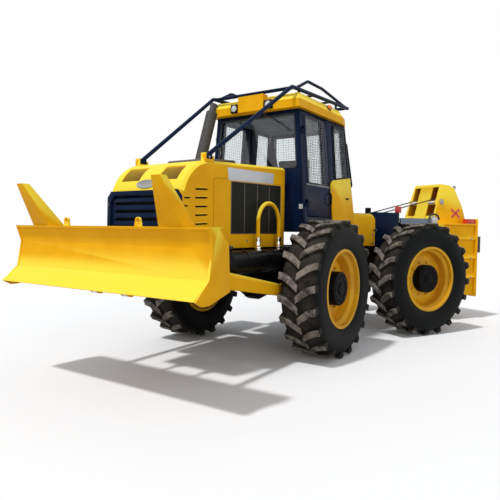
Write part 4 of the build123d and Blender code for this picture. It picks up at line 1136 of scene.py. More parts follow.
@dataclass
class Tyre:
    """Lugged forestry tyre: a turned carcass with two staggered rows of bars."""

    radius: float = 0.790
    steps: int = 144
    lugs_per_row: int = 20
    lug_root: float = 0.700
    lug_lead: float = 0.104
    lug_shrink: Point = (1.0, 0.92, 0.975)
    lug_middle: Point = (0.0, -0.02, 0.11)
    lug_edge: float = 0.006
    carcass: Profile = (
        (0.4325, 0.194), (0.450, 0.198), (0.462, 0.202), (0.478, 0.214), (0.510, 0.226), (0.560, 0.2345),
        (0.615, 0.2345), (0.662, 0.230), (0.700, 0.221), (0.722, 0.208), (0.738, 0.170), (0.744, 0.120),
        (0.748, 0.060), (0.7485, 0.0),
    )
    lug_outline: Profile = (
        (0.116, -0.014), (0.032, -0.014), (-0.025, 0.050), (-0.070, 0.105), (-0.094, 0.170),
        (-0.106, 0.2250), (-0.024, 0.2250), (-0.012, 0.170), (0.018, 0.118), (0.068, 0.048),
    )

    def build_master(self) -> bpy.types.Object:
        """Model one tyre about the Z axis.

        Returns:
            The tyre.
        """
        wall = list(self.carcass)
        profile = wall + [(radius, -height) for radius, height in reversed(wall[:-1])]
        body = spun(profile, self.steps)
        lug = self.build_lug()
        mirrored = copy_of(lug, Matrix.Scale(-1.0, 4, UP))
        with editing(mirrored):
            bpy.ops.mesh.normals_make_consistent(inside=False)
        lugs = []
        pitch = math.tau / self.lugs_per_row
        for step in range(self.lugs_per_row):
            lugs.append(copy_of(lug, Matrix.Rotation(step * pitch, 4, "Z")))
            lugs.append(copy_of(mirrored, Matrix.Rotation((step + 0.5) * pitch, 4, "Z")))
        for spare in (lug, mirrored):
            bpy.data.objects.remove(spare)
        return join("tyre_master", [body, *lugs])

    def build_lug(self) -> bpy.types.Object:
        """Model one bar of the upper row.

        Returns:
            The bar, narrower at its face, with its edges rounded.
        """
        rise = math.sqrt(self.radius**2 - self.lug_lead**2) - self.lug_root
        bpy.ops.mesh.primitive_circle_add(vertices=len(self.lug_outline), fill_type="NGON")
        lug = bpy.context.object
        for vertex, (across, along) in zip(lug.data.vertices, self.lug_outline):
            vertex.co = Vector((self.lug_root, across, along))
        with editing(lug):
            bpy.ops.mesh.extrude_region_move(TRANSFORM_OT_translate={"value": (rise, 0, 0)})
            bpy.ops.transform.resize(value=self.lug_shrink, center_override=self.lug_middle)
            bpy.ops.mesh.select_all(action="SELECT")
            bpy.ops.mesh.normals_make_consistent(inside=False)
            bpy.ops.mesh.bevel(offset=self.lug_edge, segments=2, affect="EDGES")
        return lug

    def fit_all(self) -> None:
        """Put a tyre on each corner."""
        master = self.build_master()
        for corner in CORNERS:
            tyre = copy_of(master, corner.facing(1))
            centre = corner.half.place @ corner.centre
            turn = BEND if corner.half is Half.REAR else 0.0
            rubber = RubberFinish(f"tyre_rubber_{corner.name}", tuple(centre), turn).build()
            dress(tyre, f"lugged_tyre_{corner.name}", rubber, corner.body)
            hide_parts(f"tyre_{corner.name}")
        bpy.data.objects.remove(master)


@dataclass
class Wheel:
    """Drop-centre rim with a dished disc, and the planetary hub in its middle."""

    rim_steps: int = 128
    hub_steps: int = 96
    nut_ring: tuple[float, int, float] = (0.238, 10, 0.046)
    nut_size: Span = (0.017, 0.020)
    screw_ring: tuple[float, int, float] = (0.148, 12, 0.168)
    screw_size: Span = (0.010, 0.007)
    rim: Profile = (
        (0.450, 0.205), (0.455, 0.202), (0.455, 0.196), (0.438, 0.193), (0.432, 0.180), (0.432, 0.142),
        (0.404, 0.112), (0.400, 0.100), (0.400, -0.100), (0.404, -0.112), (0.432, -0.142), (0.432, -0.180),
        (0.438, -0.193), (0.455, -0.196), (0.455, -0.202), (0.450, -0.205), (0.424, -0.205), (0.420, -0.200),
        (0.420, -0.150), (0.389, -0.116), (0.388, -0.020), (0.388, 0.116), (0.420, 0.150), (0.420, 0.200),
        (0.424, 0.205),
    )
    disc: Profile = (
        (0.392, -0.010), (0.392, 0.004), (0.372, 0.010), (0.318, 0.038), (0.296, 0.044), (0.150, 0.044),
        (0.150, 0.028), (0.296, 0.028), (0.318, 0.022), (0.372, -0.006),
    )
    hub: Profile = (
        (0.010, -0.085), (0.180, -0.085), (0.195, -0.070), (0.195, 0.070), (0.188, 0.076), (0.188, 0.090),
        (0.195, 0.096), (0.195, 0.150), (0.190, 0.160), (0.170, 0.168), (0.120, 0.168), (0.112, 0.160),
        (0.075, 0.160), (0.068, 0.172), (0.060, 0.175), (0.010, 0.175),
    )

    def fit_all(self, palette: Palette) -> None:
        """Put a rim, hub and bolts on each corner.

        Args:
            palette: The finishes.
        """
        rim = join("rim_master", [spun(self.rim, self.rim_steps), spun(self.disc, self.rim_steps)])
        hub = spun(self.hub, self.hub_steps)
        nuts = bolt_heads("nut_master", self.ring(*self.nut_ring), *self.nut_size)
        screws = bolt_heads("screw_master", self.ring(*self.screw_ring), *self.screw_size)
        for corner in CORNERS:
            for master, name, paint in (
                (rim, "rim", palette.rim_yellow),
                (hub, "hub", palette.hub_black),
                (nuts, "wheel_nuts", palette.rim_yellow),
                (screws, "hub_screws", palette.hub_black),
            ):
                piece = copy_of(master, corner.facing(corner.hand))
                dress(piece, f"{name}_{corner.name}", paint, corner.body)
                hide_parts(f"wheel_{corner.name}")
        for master in (rim, hub, nuts, screws):
            bpy.data.objects.remove(master)

    def ring(self, radius: float, count: int, height: float) -> list[tuple[Vector, Vector]]:
        """Seats of a ring of fasteners, facing +Z."""
        turns = [math.tau * step / count for step in range(count)]
        return [(Vector((radius * math.cos(turn), radius * math.sin(turn), height)), UP) for turn in turns]


@dataclass
class HoodTrim:
    """What is fastened to the hood: blank plate and badge, vent nets, lips, and dark lines and sheets of
    painted shade in its gaps and behind its openings.

    A tube is given as its radius and the radius of its bends, and a fastener as its radius and height.
    """

    half_width: float = 0.480
    nose_centre: Span = (1.522, 1.678)
    nose_radius: float = 0.438
    vent_angles: Span = (31.5, 60.0)
    vent_span: Span = (0.114, 0.376)
    net_cells: tuple[int, int] = (11, 13)
    net_wire: float = 0.007
    net_lift: float = -0.010
    badge_size: Point = (0.135, 0.047, 1.0)
    badge_thick: float = 0.010
    badge_rim: float = 0.007
    badge_step: Span = (0.003, -0.002)
    badge_lift: float = 0.001
    badge_angle: float = 27.0
    plate_outline: Profile = ((1.245, 1.950), (1.262, 2.078), (0.376, 2.098), (0.384, 1.978))
    plate_lift: float = 0.0005
    plate_thick: float = 0.003
    plate_edge: float = 0.0008
    screen: Profile = ((0.215, 1.410), (1.195, 1.410), (1.195, 1.940), (0.215, 1.964))
    screen_lip: Span = (0.006, 0.014)
    screen_ribs: tuple[float, ...] = (0.460, 0.705, 0.950)
    rib_half: float = 0.006
    rib_sinks: Span = (0.005, 0.001)
    rib_heights: Span = (1.412, 1.938)
    tilt: float = math.radians(-2.98)
    slots: tuple[Point, ...] = (
        (1.665, 1.831, 0.188), (1.665, 1.749, 0.188), (1.665, 1.667, 0.188), (1.665, 1.586, 0.188),
        (1.665, 1.502, 0.188), (1.868, 1.739, 0.088), (1.885, 1.664, 0.054),
    )
    slot_lip: Profile = ((-0.001, 0.009), (-0.001, 0.016), (0.003, 0.015), (0.008, 0.010), (0.008, 0.008))
    # Painted shade: the gap round each side door is real, and its darkness is a thin dark tube lying just
    # under the skin
    seam: Profile = ((1.483, 1.292), (1.483, 1.955), (0.150, 1.984))
    seam_sink: float = 0.0005
    seam_tube: Span = (0.0022, 0.045)
    # Dark sheets of painted shade behind the grille, the side slots and the slope vents
    grille_shade_sheet: tuple[Point, Point] = ((1.898, -0.432, 1.308), (1.902, 0.432, 1.765))
    slot_shade_sheets: tuple[tuple[Span, Span], ...] = (
        ((1.556, 1.774), (1.480, 1.862)), ((1.806, 1.905), (1.640, 1.768)),
    )
    slot_shade_y: Span = (0.452, 0.456)
    vent_shade_lift: float = -0.050
    vent_shade_push: Point = (-0.003, 0.0, -0.003)

    def on_nose(self, angle: float, across: float, lift: float) -> Vector:
        """A point over the rounded nose, by its angle above the horizontal in degrees."""
        turn = math.radians(angle)
        reach = self.nose_radius + lift
        return Vector((self.nose_centre[0] + reach * math.cos(turn), across,
                       self.nose_centre[1] + reach * math.sin(turn)))

    def build(self, palette: Palette) -> None:
        """Make every piece of the hood's trim.

        Args:
            palette: The finishes.
        """
        self.build_plate(palette)
        self.build_badge(palette)
        self.build_vents(palette)
        self.build_screens(palette)
        self.build_slots(palette)
        self.build_seams(palette)
        self.build_shade_sheets(palette)

    def build_plate(self, palette: Palette) -> None:
        """The blank label plate along the hood's left side."""
        corners = [(x, self.half_width + self.plate_lift, z) for x, z in self.plate_outline]
        label = plate(corners, (0.0, self.plate_thick, 0.0), self.plate_edge)
        fitted([label], "blank_plate", (palette.silver, "chrome"), Half.FRONT)

    def build_badge(self, palette: Palette) -> None:
        """The blank oval badge on the slope between the vents."""
        bpy.ops.mesh.primitive_cylinder_add(vertices=BAND_STEPS, radius=1.0, depth=self.badge_thick)
        badge = bpy.context.object
        badge.scale = self.badge_size
        bpy.ops.object.transform_apply(location=True, rotation=True, scale=True)
        select_faces(badge, lambda face: face.normal.z > FACING)
        bpy.ops.mesh.inset(thickness=self.badge_rim, depth=0.0)
        bpy.ops.mesh.inset(thickness=self.badge_step[0], depth=self.badge_step[1])
        bpy.ops.object.mode_set(mode="OBJECT")
        out = self.on_nose(self.badge_angle, 0.0, 1.0) - self.on_nose(self.badge_angle, 0.0, 0.0)
        settle(badge, aimed(self.on_nose(self.badge_angle, 0.0, self.badge_lift), out))
        fitted([badge], "blank_badge", (palette.pewter, "chrome"), Half.FRONT)

    def build_vents(self, palette: Palette) -> None:
        """The expanded nets in the two slope vents."""
        low, high = self.vent_angles
        inner, outer = self.vent_span
        nets = []
        for hand in HANDS:

            def net_point(s: float, t: float, hand: int = hand) -> Vector:
                """A point on the net, a little under the skin."""
                across = inner + (outer - inner) * t
                return self.on_nose(low + (high - low) * s, hand * across, self.net_lift)

            nets.append(lattice(net_point, self.net_cells, self.net_wire))
        fitted(nets, "vent_nets", (palette.olive, "yellow_paint"), Half.FRONT)

    def build_screens(self, palette: Palette) -> None:
        """Lips round the side screens and the ribs that stiffen the sheet."""
        parts = []
        depths = [self.half_width - sink for sink in self.rib_sinks]
        for hand in HANDS:
            corners = [(x, hand * self.half_width, z) for x, z in self.screen]
            parts.append(tube_along(corners, *self.screen_lip, closed=True))
            for x in self.screen_ribs:
                span = (x - self.rib_half, x + self.rib_half)
                parts.append(side_block(hand, span, depths, self.rib_heights, SHEET_EDGE, 1))
        fitted(parts, "screen_lips", (palette.brown, "dark_mesh"), Half.FRONT)

    def build_slots(self, palette: Palette) -> None:
        """The pressed lip over each louvre slot."""
        lips = []
        for hand in HANDS:
            y = hand * self.half_width
            for middle, height, length in self.slots:
                rise = length * math.tan(self.tilt)
                start = height - rise / 2
                corners = [(middle - length / 2, y + hand * out, start + up) for out, up in self.slot_lip]
                lips.append(plate(corners, (length, 0.0, rise)))
        fitted(lips, "slot_lips", (palette.yellow, "yellow_paint"), Half.FRONT)

    def build_seams(self, palette: Palette) -> None:
        """Thin dark tubes of painted shade along the gaps round the side doors."""
        seam_shades = []
        for hand in HANDS:
            y = hand * (self.half_width - self.seam_sink)
            seam_shades.append(tube_along([(x, y, z) for x, z in self.seam], *self.seam_tube))
        fitted(seam_shades, "hood_seam_shade", (palette.seam, "yellow_paint"), Half.FRONT)

    def build_shade_sheets(self, palette: Palette) -> None:
        """Dark sheets of painted shade behind the slots, the vents and the grille, where the hood's inside
        would show.
        """
        parts = [block(*self.grille_shade_sheet)]
        low, high = self.vent_angles
        inner, outer = self.vent_span
        for hand in HANDS:
            parts += [side_block(hand, x, self.slot_shade_y, z) for x, z in self.slot_shade_sheets]
            corners = [self.on_nose(angle, hand * across, self.vent_shade_lift)
                       for angle, across in ((low, inner), (high, inner), (high, outer), (low, outer))]
            parts.append(plate(corners, self.vent_shade_push))
        fitted(parts, "nose_shade_sheets", (palette.mesh, "dark_mesh"), Half.FRONT)


@dataclass
class CabTrim:
    """What is fastened to the cab: lamps, seals, wiper, window guards, handles, lining and small plates."""

    floor: float = 1.430
    top: float = 2.900
    half_low: float = 0.720
    half_high: float = 0.605
    rear_low: float = -1.480
    rear_high: float = -1.300
    front_low: float = 0.060
    front_high: float = 0.025
    door_pane: Profile = ((-0.570, 2.030), (-0.110, 2.030), (-0.110, 2.840), (-0.570, 2.840))
    quarter_pane: Profile = ((-0.885, 2.135), (-1.285, 2.195), (-1.245, 2.850), (-0.885, 2.850))
    front_pane: Profile = ((-0.590, 2.200), (0.590, 2.200), (0.540, 2.845), (-0.540, 2.845))
    rear_pane: Profile = ((-0.560, 2.080), (0.560, 2.080), (0.520, 2.830), (-0.520, 2.830))
    seal: float = 0.009
    seal_sink: float = 0.002
    side_bend: float = 0.035
    end_bend: float = 0.045
    grip_x: float = -0.655
    grip_level: float = 1.890
    grip: Profile = ((0.0, 1.935), (0.042, 1.920), (0.042, 1.790), (0.0, 1.775))
    grip_tube: Span = (0.009, 0.02)
    lock_at: Span = (-0.625, 1.740)
    lock: Profile = ((0.0, 0.0), (0.017, 0.0), (0.017, 0.012), (0.008, 0.014), (0.0, 0.014))
    sill_x: Span = (-0.676, -0.060)
    sill_z: Span = (1.996, 2.018)
    sill_thick: float = 0.010
    sill_edge: float = 0.003
    door_guard_gap: float = 0.010
    door_cells: tuple[int, int] = (10, 22)
    door_wire: float = 0.0055
    guard_gap: float = 0.012
    guard_wire: float = 0.006
    guard_frame: Span = (0.008, 0.03)
    quarter_cells: tuple[int, int] = (9, 20)
    rear_cells: tuple[int, int] = (24, 22)
    lamp_y: float = 0.250
    lamp_half: float = 0.055
    lamp_edge: float = 0.006
    lamp_x: Span = (0.124, 0.158)
    lamp_z: Span = (2.912, 3.018)
    lamp_level: float = 2.965
    ring_x: float = 0.156
    dome_x: float = 0.157
    lamp_ring: Profile = ((0.046, 0.0), (0.050, 0.0), (0.050, 0.012), (0.046, 0.014), (0.042, 0.010))
    lamp_dome: Profile = ((0.0, -0.004), (0.044, -0.004), (0.044, 0.004), (0.030, 0.010), (0.0, 0.013))
    marker_foot: Point = (-0.720, 0.630, 3.040)
    marker_out: Point = (0.0, 0.85, 0.53)
    marker_base: Profile = ((0.0, -0.010), (0.044, -0.010), (0.044, 0.006), (0.036, 0.012), (0.0, 0.012))
    marker_glow: Profile = ((0.0, 0.010), (0.035, 0.010), (0.035, 0.030), (0.026, 0.044), (0.0, 0.050))
    wiper_seat: Span = (0.130, 2.880)
    wiper_spindle: Profile = ((0.0, -0.004), (0.022, -0.004), (0.022, 0.012), (0.012, 0.026), (0.0, 0.028))
    wiper_lift: float = 0.022
    wiper_arm: float = 0.006
    wiper_blade: float = 0.008
    # elbow and blade ends: lift over the glass, Y, Z, and the height that the glass is taken at
    wiper_points: tuple[tuple[float, float, float, float], ...] = (
        (0.026, 0.315, 2.775, 2.760), (0.014, 0.205, 2.845, 2.845), (0.014, 0.495, 2.650, 2.640),
    )
    liner: tuple[Point, Point] = ((-1.235, -0.545, 2.868), (-0.035, 0.545, 2.892))
    liner_edge: float = 0.006
    shelf: tuple[Point, Point] = ((-0.190, -0.560, 2.120), (-0.020, 0.560, 2.170))
    shelf_edge: float = 0.012
    rail_foot: float = 1.900
    rail_shift: float = 0.068
    tag_y: Span = (0.642, 0.692)
    tag_level: float = 1.735
    tag_half: float = 0.028
    tag_faces: Span = (-0.001, 0.003)
    latch_x: Span = (-1.245, -1.150)
    latch_z: Span = (1.878, 1.900)
    latch_level: float = 1.889
    latch_faces: Span = (0.021, 0.035)
    latch_edge: float = 0.005
    screw_places: Profile = (
        (-0.750, 1.500), (-0.750, 1.980), (-1.380, 1.500), (-1.345, 2.120), (-1.060, 1.500),
    )
    screw_lift: float = 0.022
    screw_lean: float = 0.08
    screw_size: Span = (0.009, 0.006)

    def share(self, z: float) -> float:
        """How far up the cab a height is, from 0 to 1."""
        return (z - self.floor) / (self.top - self.floor)

    def half(self, z: float) -> float:
        """Half width over the cab's sides at a height."""
        return self.half_low + self.share(z) * (self.half_high - self.half_low)

    def front(self, z: float) -> float:
        """X of the cab's front face at a height."""
        return self.front_low + self.share(z) * (self.front_high - self.front_low)

    def rear(self, z: float) -> float:
        """X of the cab's rear face at a height."""
        return self.rear_low + self.share(z) * (self.rear_high - self.rear_low)

    def on_side(self, pane: Profile, hand: int, lift: float) -> list[Vector]:
        """Corners of a side pane, lifted off the cab's side.

        Args:
            pane: The corners as X and Z.
            hand: 1 for the left side, -1 for the right one.
            lift: How far outside the cab's side they stand.

        Returns:
            The corners.
        """
        return [Vector((x, hand * (self.half(z) + lift), z)) for x, z in pane]

    def build(self, palette: Palette) -> None:
        """Make every piece of the cab's trim.

        Args:
            palette: The finishes.
        """
        self.build_seals(palette)
        self.build_lamps(palette)
        self.build_guards(palette)
        self.build_wiper(palette)
        self.build_doors(palette)
        self.build_inside(palette)
        self.build_rear_rails(palette)
        self.build_small_parts(palette)

    def side_seal(self, pane: Profile, hand: int) -> bpy.types.Object:
        """The rubber seal round a pane in the cab's side."""
        corners = self.on_side(pane, hand, -self.seal_sink)
        return tube_along(corners, self.seal, self.side_bend, closed=True)

    def build_seals(self, palette: Palette) -> None:
        """Rubber seals round the fixed panes."""
        rings = [self.side_seal(self.quarter_pane, hand) for hand in HANDS]
        ahead = [(self.front(z) - self.seal_sink, y, z) for y, z in self.front_pane]
        behind = [(self.rear(z) + self.seal_sink, y, z) for y, z in self.rear_pane]
        rings += [tube_along(pane, self.seal, self.end_bend, closed=True) for pane in (ahead, behind)]
        fitted(rings, "window_seals", (palette.rubber, "dark_trim"), Half.FRONT)

    def build_doors(self, palette: Palette) -> None:
        """Seal, handle, rub bar and window guard of each door, which swing with it."""
        for hand, word in zip(HANDS, ("left", "right")):
            body = body_of(f"cab_door_{word}")
            seal = self.side_seal(self.door_pane, hand)
            fitted([seal], f"door_seal_{word}", (palette.rubber, "dark_trim"), Half.FRONT, body)
            y = hand * self.half(self.grip_level)
            grip = tube_along([(self.grip_x, y + hand * out, z) for out, z in self.grip], *self.grip_tube)
            barrel = turned(self.lock, (self.lock_at[0], y, self.lock_at[1]), (0, hand, 0), KNOB_STEPS)
            fitted([grip, barrel], f"door_handle_{word}", (palette.black, "black_paint"), Half.FRONT, body)
            side = self.half(self.sill_z[1])
            sill = side_block(hand, self.sill_x, (side, side + self.sill_thick), self.sill_z, self.sill_edge)
            fitted([sill], f"door_sill_bar_{word}", (palette.wire, "navy_paint"), Half.FRONT, body)
            corners = self.on_side(self.door_pane, hand, self.door_guard_gap)
            net = pane_net(corners, self.door_cells, self.door_wire)
            fitted([net], f"door_guard_{word}", (palette.wire, "dark_mesh"), Half.FRONT, body)

    def build_lamps(self, palette: Palette) -> None:
        """Work lamps in the roof's front edge and the amber marker on its left edge."""
        housings, lenses = [], []
        for y in (-self.lamp_y, self.lamp_y):
            low = (self.lamp_x[0], y - self.lamp_half, self.lamp_z[0])
            high = (self.lamp_x[1], y + self.lamp_half, self.lamp_z[1])
            housings.append(block(low, high, self.lamp_edge))
            housings.append(turned(self.lamp_ring, (self.ring_x, y, self.lamp_level), AHEAD, LENS_STEPS))
            lenses.append(turned(self.lamp_dome, (self.dome_x, y, self.lamp_level), AHEAD, LENS_STEPS))
        bezel = fitted(housings, "lamp_housings", (palette.black, "black_paint"), Half.FRONT)
        lens = fitted(lenses, "lamp_faces", (palette.silver, "lamp_lens"), Half.FRONT)
        for piece in (bezel, lens):
            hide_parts("roof_lamps")
        base = turned(self.marker_base, self.marker_foot, self.marker_out, CAP_STEPS)
        fitted([base], "marker_base", (palette.rubber, "dark_trim"), Half.FRONT)
        glow = turned(self.marker_glow, self.marker_foot, self.marker_out, CAP_STEPS)
        fitted([glow], "marker_lens", (palette.amber, "red_lens"), Half.FRONT)

    def build_guards(self, palette: Palette) -> None:
        """Wire guards outside the rear window and the rear quarter windows."""
        nets, frames = [], []
        back = [Vector((self.rear(z) - self.guard_gap, y, z)) for y, z in self.rear_pane]
        for corners, cells in (
            (self.on_side(self.quarter_pane, 1, self.guard_gap), self.quarter_cells),
            (self.on_side(self.quarter_pane, -1, self.guard_gap), self.quarter_cells),
            (back, self.rear_cells),
        ):
            nets.append(pane_net(corners, cells, self.guard_wire))
            frames.append(tube_along(corners, *self.guard_frame, closed=True))
        fitted(nets, "window_guards", (palette.wire, "dark_mesh"), Half.FRONT)
        fitted(frames, "guard_frames", (palette.black, "black_paint"), Half.FRONT)

    def build_wiper(self, palette: Palette) -> None:
        """Wiper on the windscreen: spindle, arm and blade."""
        y, z = self.wiper_seat
        seat = Vector((self.front(z), y, z))
        elbow, *blade = [(self.front(level) + lift, y, z) for lift, y, z, level in self.wiper_points]
        parts = [turned(self.wiper_spindle, seat, AHEAD, KNOB_STEPS),
                 tube_along([(seat.x + self.wiper_lift, seat.y, seat.z), elbow], self.wiper_arm),
                 tube_along(blade, self.wiper_blade)]
        fitted(parts, "wiper", (palette.rubber, "dark_trim"), Half.FRONT)

    def build_inside(self, palette: Palette) -> None:
        """Headliner and the dash shelf under the windscreen."""
        parts = [block(*self.liner, self.liner_edge), block(*self.shelf, self.shelf_edge)]
        fitted(parts, "cab_lining", (palette.lining, "dark_trim"), Half.FRONT)

    def build_rear_rails(self, palette: Palette) -> None:
        """Steps and access rails, with the rails behind the cab out at its two corners."""
        rails = softened("access_rails", palette.by_slot(slot_of("access_rails")), 0.0)
        for vertex in rails.data.vertices:
            if vertex.co.z > self.rail_foot:
                vertex.co.y += math.copysign(self.rail_shift, vertex.co.y - FRONT_AXLE.y)

    def build_small_parts(self, palette: Palette) -> None:
        """Blank plate beside the hood, locker latches and the screws of the rear quarter panels."""
        x = [self.front(self.tag_level) + face for face in self.tag_faces]
        tag = block((x[0], self.tag_y[0], self.tag_level - self.tag_half),
                    (x[1], self.tag_y[1], self.tag_level + self.tag_half), SHEET_EDGE, 1)
        fitted([tag], "blank_tag", (palette.silver, "chrome"), Half.FRONT)
        latches, seats = [], []
        depths = [self.half(self.latch_level) + face for face in self.latch_faces]
        for hand in HANDS:
            latches.append(side_block(hand, self.latch_x, depths, self.latch_z, self.latch_edge))
            out = Vector((0, hand, self.screw_lean))
            seats += [(point, out) for point in self.on_side(self.screw_places, hand, self.screw_lift)]
        fitted(latches, "panel_latches", (palette.black, "black_paint"), Half.FRONT)
        screws = bolt_heads("panel_screws", seats, *self.screw_size)
        fitted([screws], "panel_screws", (palette.steel, "chrome"), Half.FRONT)


@dataclass
class SeatTrim:
    """The driver's seat: bellows base and pan, crowned cushion and back."""

    floor: float = 1.485
    foot: tuple[Span, float, Span] = ((-0.945, -0.655), 0.175, (0.0, 0.030))
    fold: tuple[Span, float, Span] = ((-0.930, -0.670), 0.160, (0.034, 0.060))
    foot_edge: float = 0.008
    fold_edge: float = 0.012
    folds: int = 6
    fold_pitch: float = 0.030
    pan: tuple[Span, float, Span] = ((-0.990, -0.550), 0.230, (0.216, 0.252))
    cushion: tuple[Point, Point] = ((-1.005, -0.242, 1.740), (-0.525, 0.242, 1.846))
    back: tuple[Point, Point] = ((-0.290, -0.228, -0.055), (0.290, 0.228, 0.045))
    back_at: Point = (-0.975, 0.0, 2.150)
    back_lean: float = -84.0
    crown: float = 0.012
    channels: Span = (-0.62, 0.62)
    fill: float = 0.7

    def slab(
        self, shape: tuple[Span, float, Span], rise: float, bevel: float, segments: int = 2
    ) -> bpy.types.Object:
        """A rounded slab across the middle of the seat.

        Args:
            shape: Its X, half width, and Z over the floor.
            rise: How much higher it goes.
            bevel: Radius of the edges.
            segments: Steps round each edge.

        Returns:
            The slab.
        """
        x, half, z = shape
        level = self.floor + rise
        return block((x[0], -half, level + z[0]), (x[1], half, level + z[1]), bevel, segments)

    def build(self, palette: Palette) -> None:
        """Make the seat in place of its plain solid.

        Args:
            palette: The finishes.
        """
        base = [self.slab(self.foot, 0.0, self.foot_edge)]
        for step in range(self.folds):
            base.append(self.slab(self.fold, step * self.fold_pitch, self.fold_edge, 3))
        base.append(self.slab(self.pan, 0.0, self.fold_edge))
        pan = fitted(base, "seat_base", (palette.trim, "dark_trim"), Half.FRONT)
        cloth = (palette.seat, "dark_trim")
        cushion = stuffed(*self.cushion, self.crown, self.channels)
        cushion = fitted([cushion], "seat_cushion", cloth, Half.FRONT, smooth=SOFT_SMOOTH)
        lean = Matrix.Translation(self.back_at) @ Matrix.Rotation(math.radians(self.back_lean), 4, "Y")
        back = settle(stuffed(*self.back, self.crown, self.channels), lean)
        back = fitted([back], "seat_back", cloth, Half.FRONT, smooth=SOFT_SMOOTH)
        for piece in (pan, cushion, back):
            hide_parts("cab_seat")


@dataclass
class FrontTrim:
    """Exhaust sleeve and flap, hose ends, filler caps, tank bands, hood bolts and caps of the arms' pins."""

    stack_foot: Vector = Vector((0.660, -0.400, 2.170))
    stack_head: Vector = Vector((0.380, -0.400, 2.980))
    sleeve_start: float = 0.125
    sleeve_share: float = 0.75
    sleeve_bore: float = 0.0625
    sleeve_radii: Span = (0.0650, 0.0690)
    sleeve_ribs: int = 26
    rib_shares: Point = (0.45, 0.55, 0.90)
    flap: Profile = ((0.0, 0.0), (0.046, 0.0), (0.048, 0.004), (0.046, 0.008), (0.0, 0.010))
    flap_lift: float = 0.001
    weight: tuple[Point, Point] = ((-0.075, -0.012, -0.012), (-0.040, 0.012, 0.010))
    weight_edge: float = 0.004
    hoop_x: float = 0.594
    hoop_half: float = 0.215
    tank_y: float = 0.560
    tank_z: float = 1.115
    tank_top: float = 1.239
    ferrule: Profile = (
        (0.023, 0.0), (0.031, 0.0), (0.031, 0.020), (0.0285, 0.024), (0.0285, 0.052), (0.031, 0.056),
        (0.031, 0.084), (0.023, 0.088),
    )
    ferrule_lift: float = 0.045
    nut_sink: float = 0.004
    nut_size: Span = (0.038, 0.030)
    filler_x: float = 1.330
    filler_lift: float = 0.022
    filler: Profile = (
        (0.0, 0.0), (0.038, 0.0), (0.040, 0.004), (0.040, 0.020), (0.036, 0.025), (0.014, 0.025),
        (0.012, 0.033), (0.0, 0.033),
    )
    band_x: Span = (0.560, 1.100)
    band: Profile = ((0.1245, 0.0), (0.1285, 0.0), (0.1285, 0.034), (0.1245, 0.034))
    side_bolts: tuple[Point, ...] = (
        (1.545, 0.469, 2.148), (0.180, 0.480, 1.335), (0.900, 0.480, 1.335), (1.440, 0.480, 1.335),
    )
    nose_bolts: tuple[Point, ...] = ((1.985, 0.457, 1.300), (1.985, 0.457, 1.680))
    bolt_size: Span = (0.010, 0.007)
    pin_at: Point = (0.500, 0.762, 0.780)
    pin_cap: Profile = ((0.0, 0.0), (0.058, 0.0), (0.058, 0.008), (0.050, 0.012), (0.0, 0.012))

    def build(self, palette: Palette) -> None:
        """Make the pieces round the engine and the blade's arms.

        Args:
            palette: The finishes.
        """
        self.build_stack(palette)
        self.build_hose_ends(palette)
        self.build_tanks(palette)
        self.build_fasteners(palette)

    def build_stack(self, palette: Palette) -> None:
        """Ribbed heat sleeve round the exhaust stack and the flap on its mouth."""
        line = self.stack_head - self.stack_foot
        length = line.length * self.sleeve_share
        pitch = length / self.sleeve_ribs
        narrow, wide = self.sleeve_radii
        rise, crest, fall = self.rib_shares
        profile = [(self.sleeve_bore, 0.0)]
        for rib in range(self.sleeve_ribs):
            low = length * rib / self.sleeve_ribs
            profile += [(narrow, low), (narrow, low + pitch * rise), (wide, low + pitch * crest),
                        (wide, low + pitch * fall)]
        profile += [(narrow, length), (self.sleeve_bore, length)]
        sleeve = turned(profile, self.stack_foot + line * self.sleeve_start, line, CAP_STEPS)
        fitted([sleeve], "stack_sleeve", (palette.iron, "dark_iron"), Half.FRONT)
        flap = turned(self.flap, self.stack_head + line.normalized() * self.flap_lift, line, CAP_STEPS)
        weight = block(*(self.stack_head + Vector(corner) for corner in self.weight), self.weight_edge)
        fitted([flap, weight], "stack_flap", (palette.iron, "dark_iron"), Half.FRONT)

    def build_hose_ends(self, palette: Palette) -> None:
        """Bright crimped ends and nuts where the yellow hose meets the tank."""
        parts = []
        for step in (-1, 1):
            foot = Vector((self.hoop_x + step * self.hoop_half, self.tank_y, self.tank_top))
            ferrule = spun(self.ferrule, FERRULE_STEPS)
            parts.append(settle(ferrule, Matrix.Translation(foot + UP * self.ferrule_lift)))
            parts.append(bolt_heads("hose_nut", [(foot - UP * self.nut_sink, UP)], *self.nut_size))
        fitted(parts, "hose_ends", (palette.chrome, "chrome"), Half.FRONT)

    def build_tanks(self, palette: Palette) -> None:
        """Filler caps and strap bands of the side tanks."""
        caps, bands = [], []
        for hand in HANDS:
            y = hand * self.tank_y
            place = Matrix.Translation((self.filler_x, y, self.tank_top + self.filler_lift))
            caps.append(settle(spun(self.filler, FERRULE_STEPS), place))
            bands += [turned(self.band, (x, y, self.tank_z), AHEAD, BAND_STEPS) for x in self.band_x]
        fitted(caps, "filler_caps", (palette.rubber, "dark_trim"), Half.FRONT)
        fitted(bands, "tank_bands", (palette.black, "black_paint"), Half.FRONT)

    def build_fasteners(self, palette: Palette) -> None:
        """Bolts through the riser lugs and the grille, and caps on the arms' pins."""
        seats = []
        for hand in HANDS:
            seats += side_seats(hand, self.side_bolts, (0, hand, 0))
            seats += side_seats(hand, self.nose_bolts, AHEAD)
        bolts = bolt_heads("hood_bolts", seats, *self.bolt_size)
        fitted([bolts], "hood_bolts", (palette.steel, "chrome"), Half.FRONT)
        x, y, z = self.pin_at
        caps = [turned(self.pin_cap, (x, hand * y, z), (0, hand, 0), CAP_STEPS) for hand in HANDS]
        fitted(caps, "arm_pin_caps", (palette.black, "black_paint"), Half.FRONT)


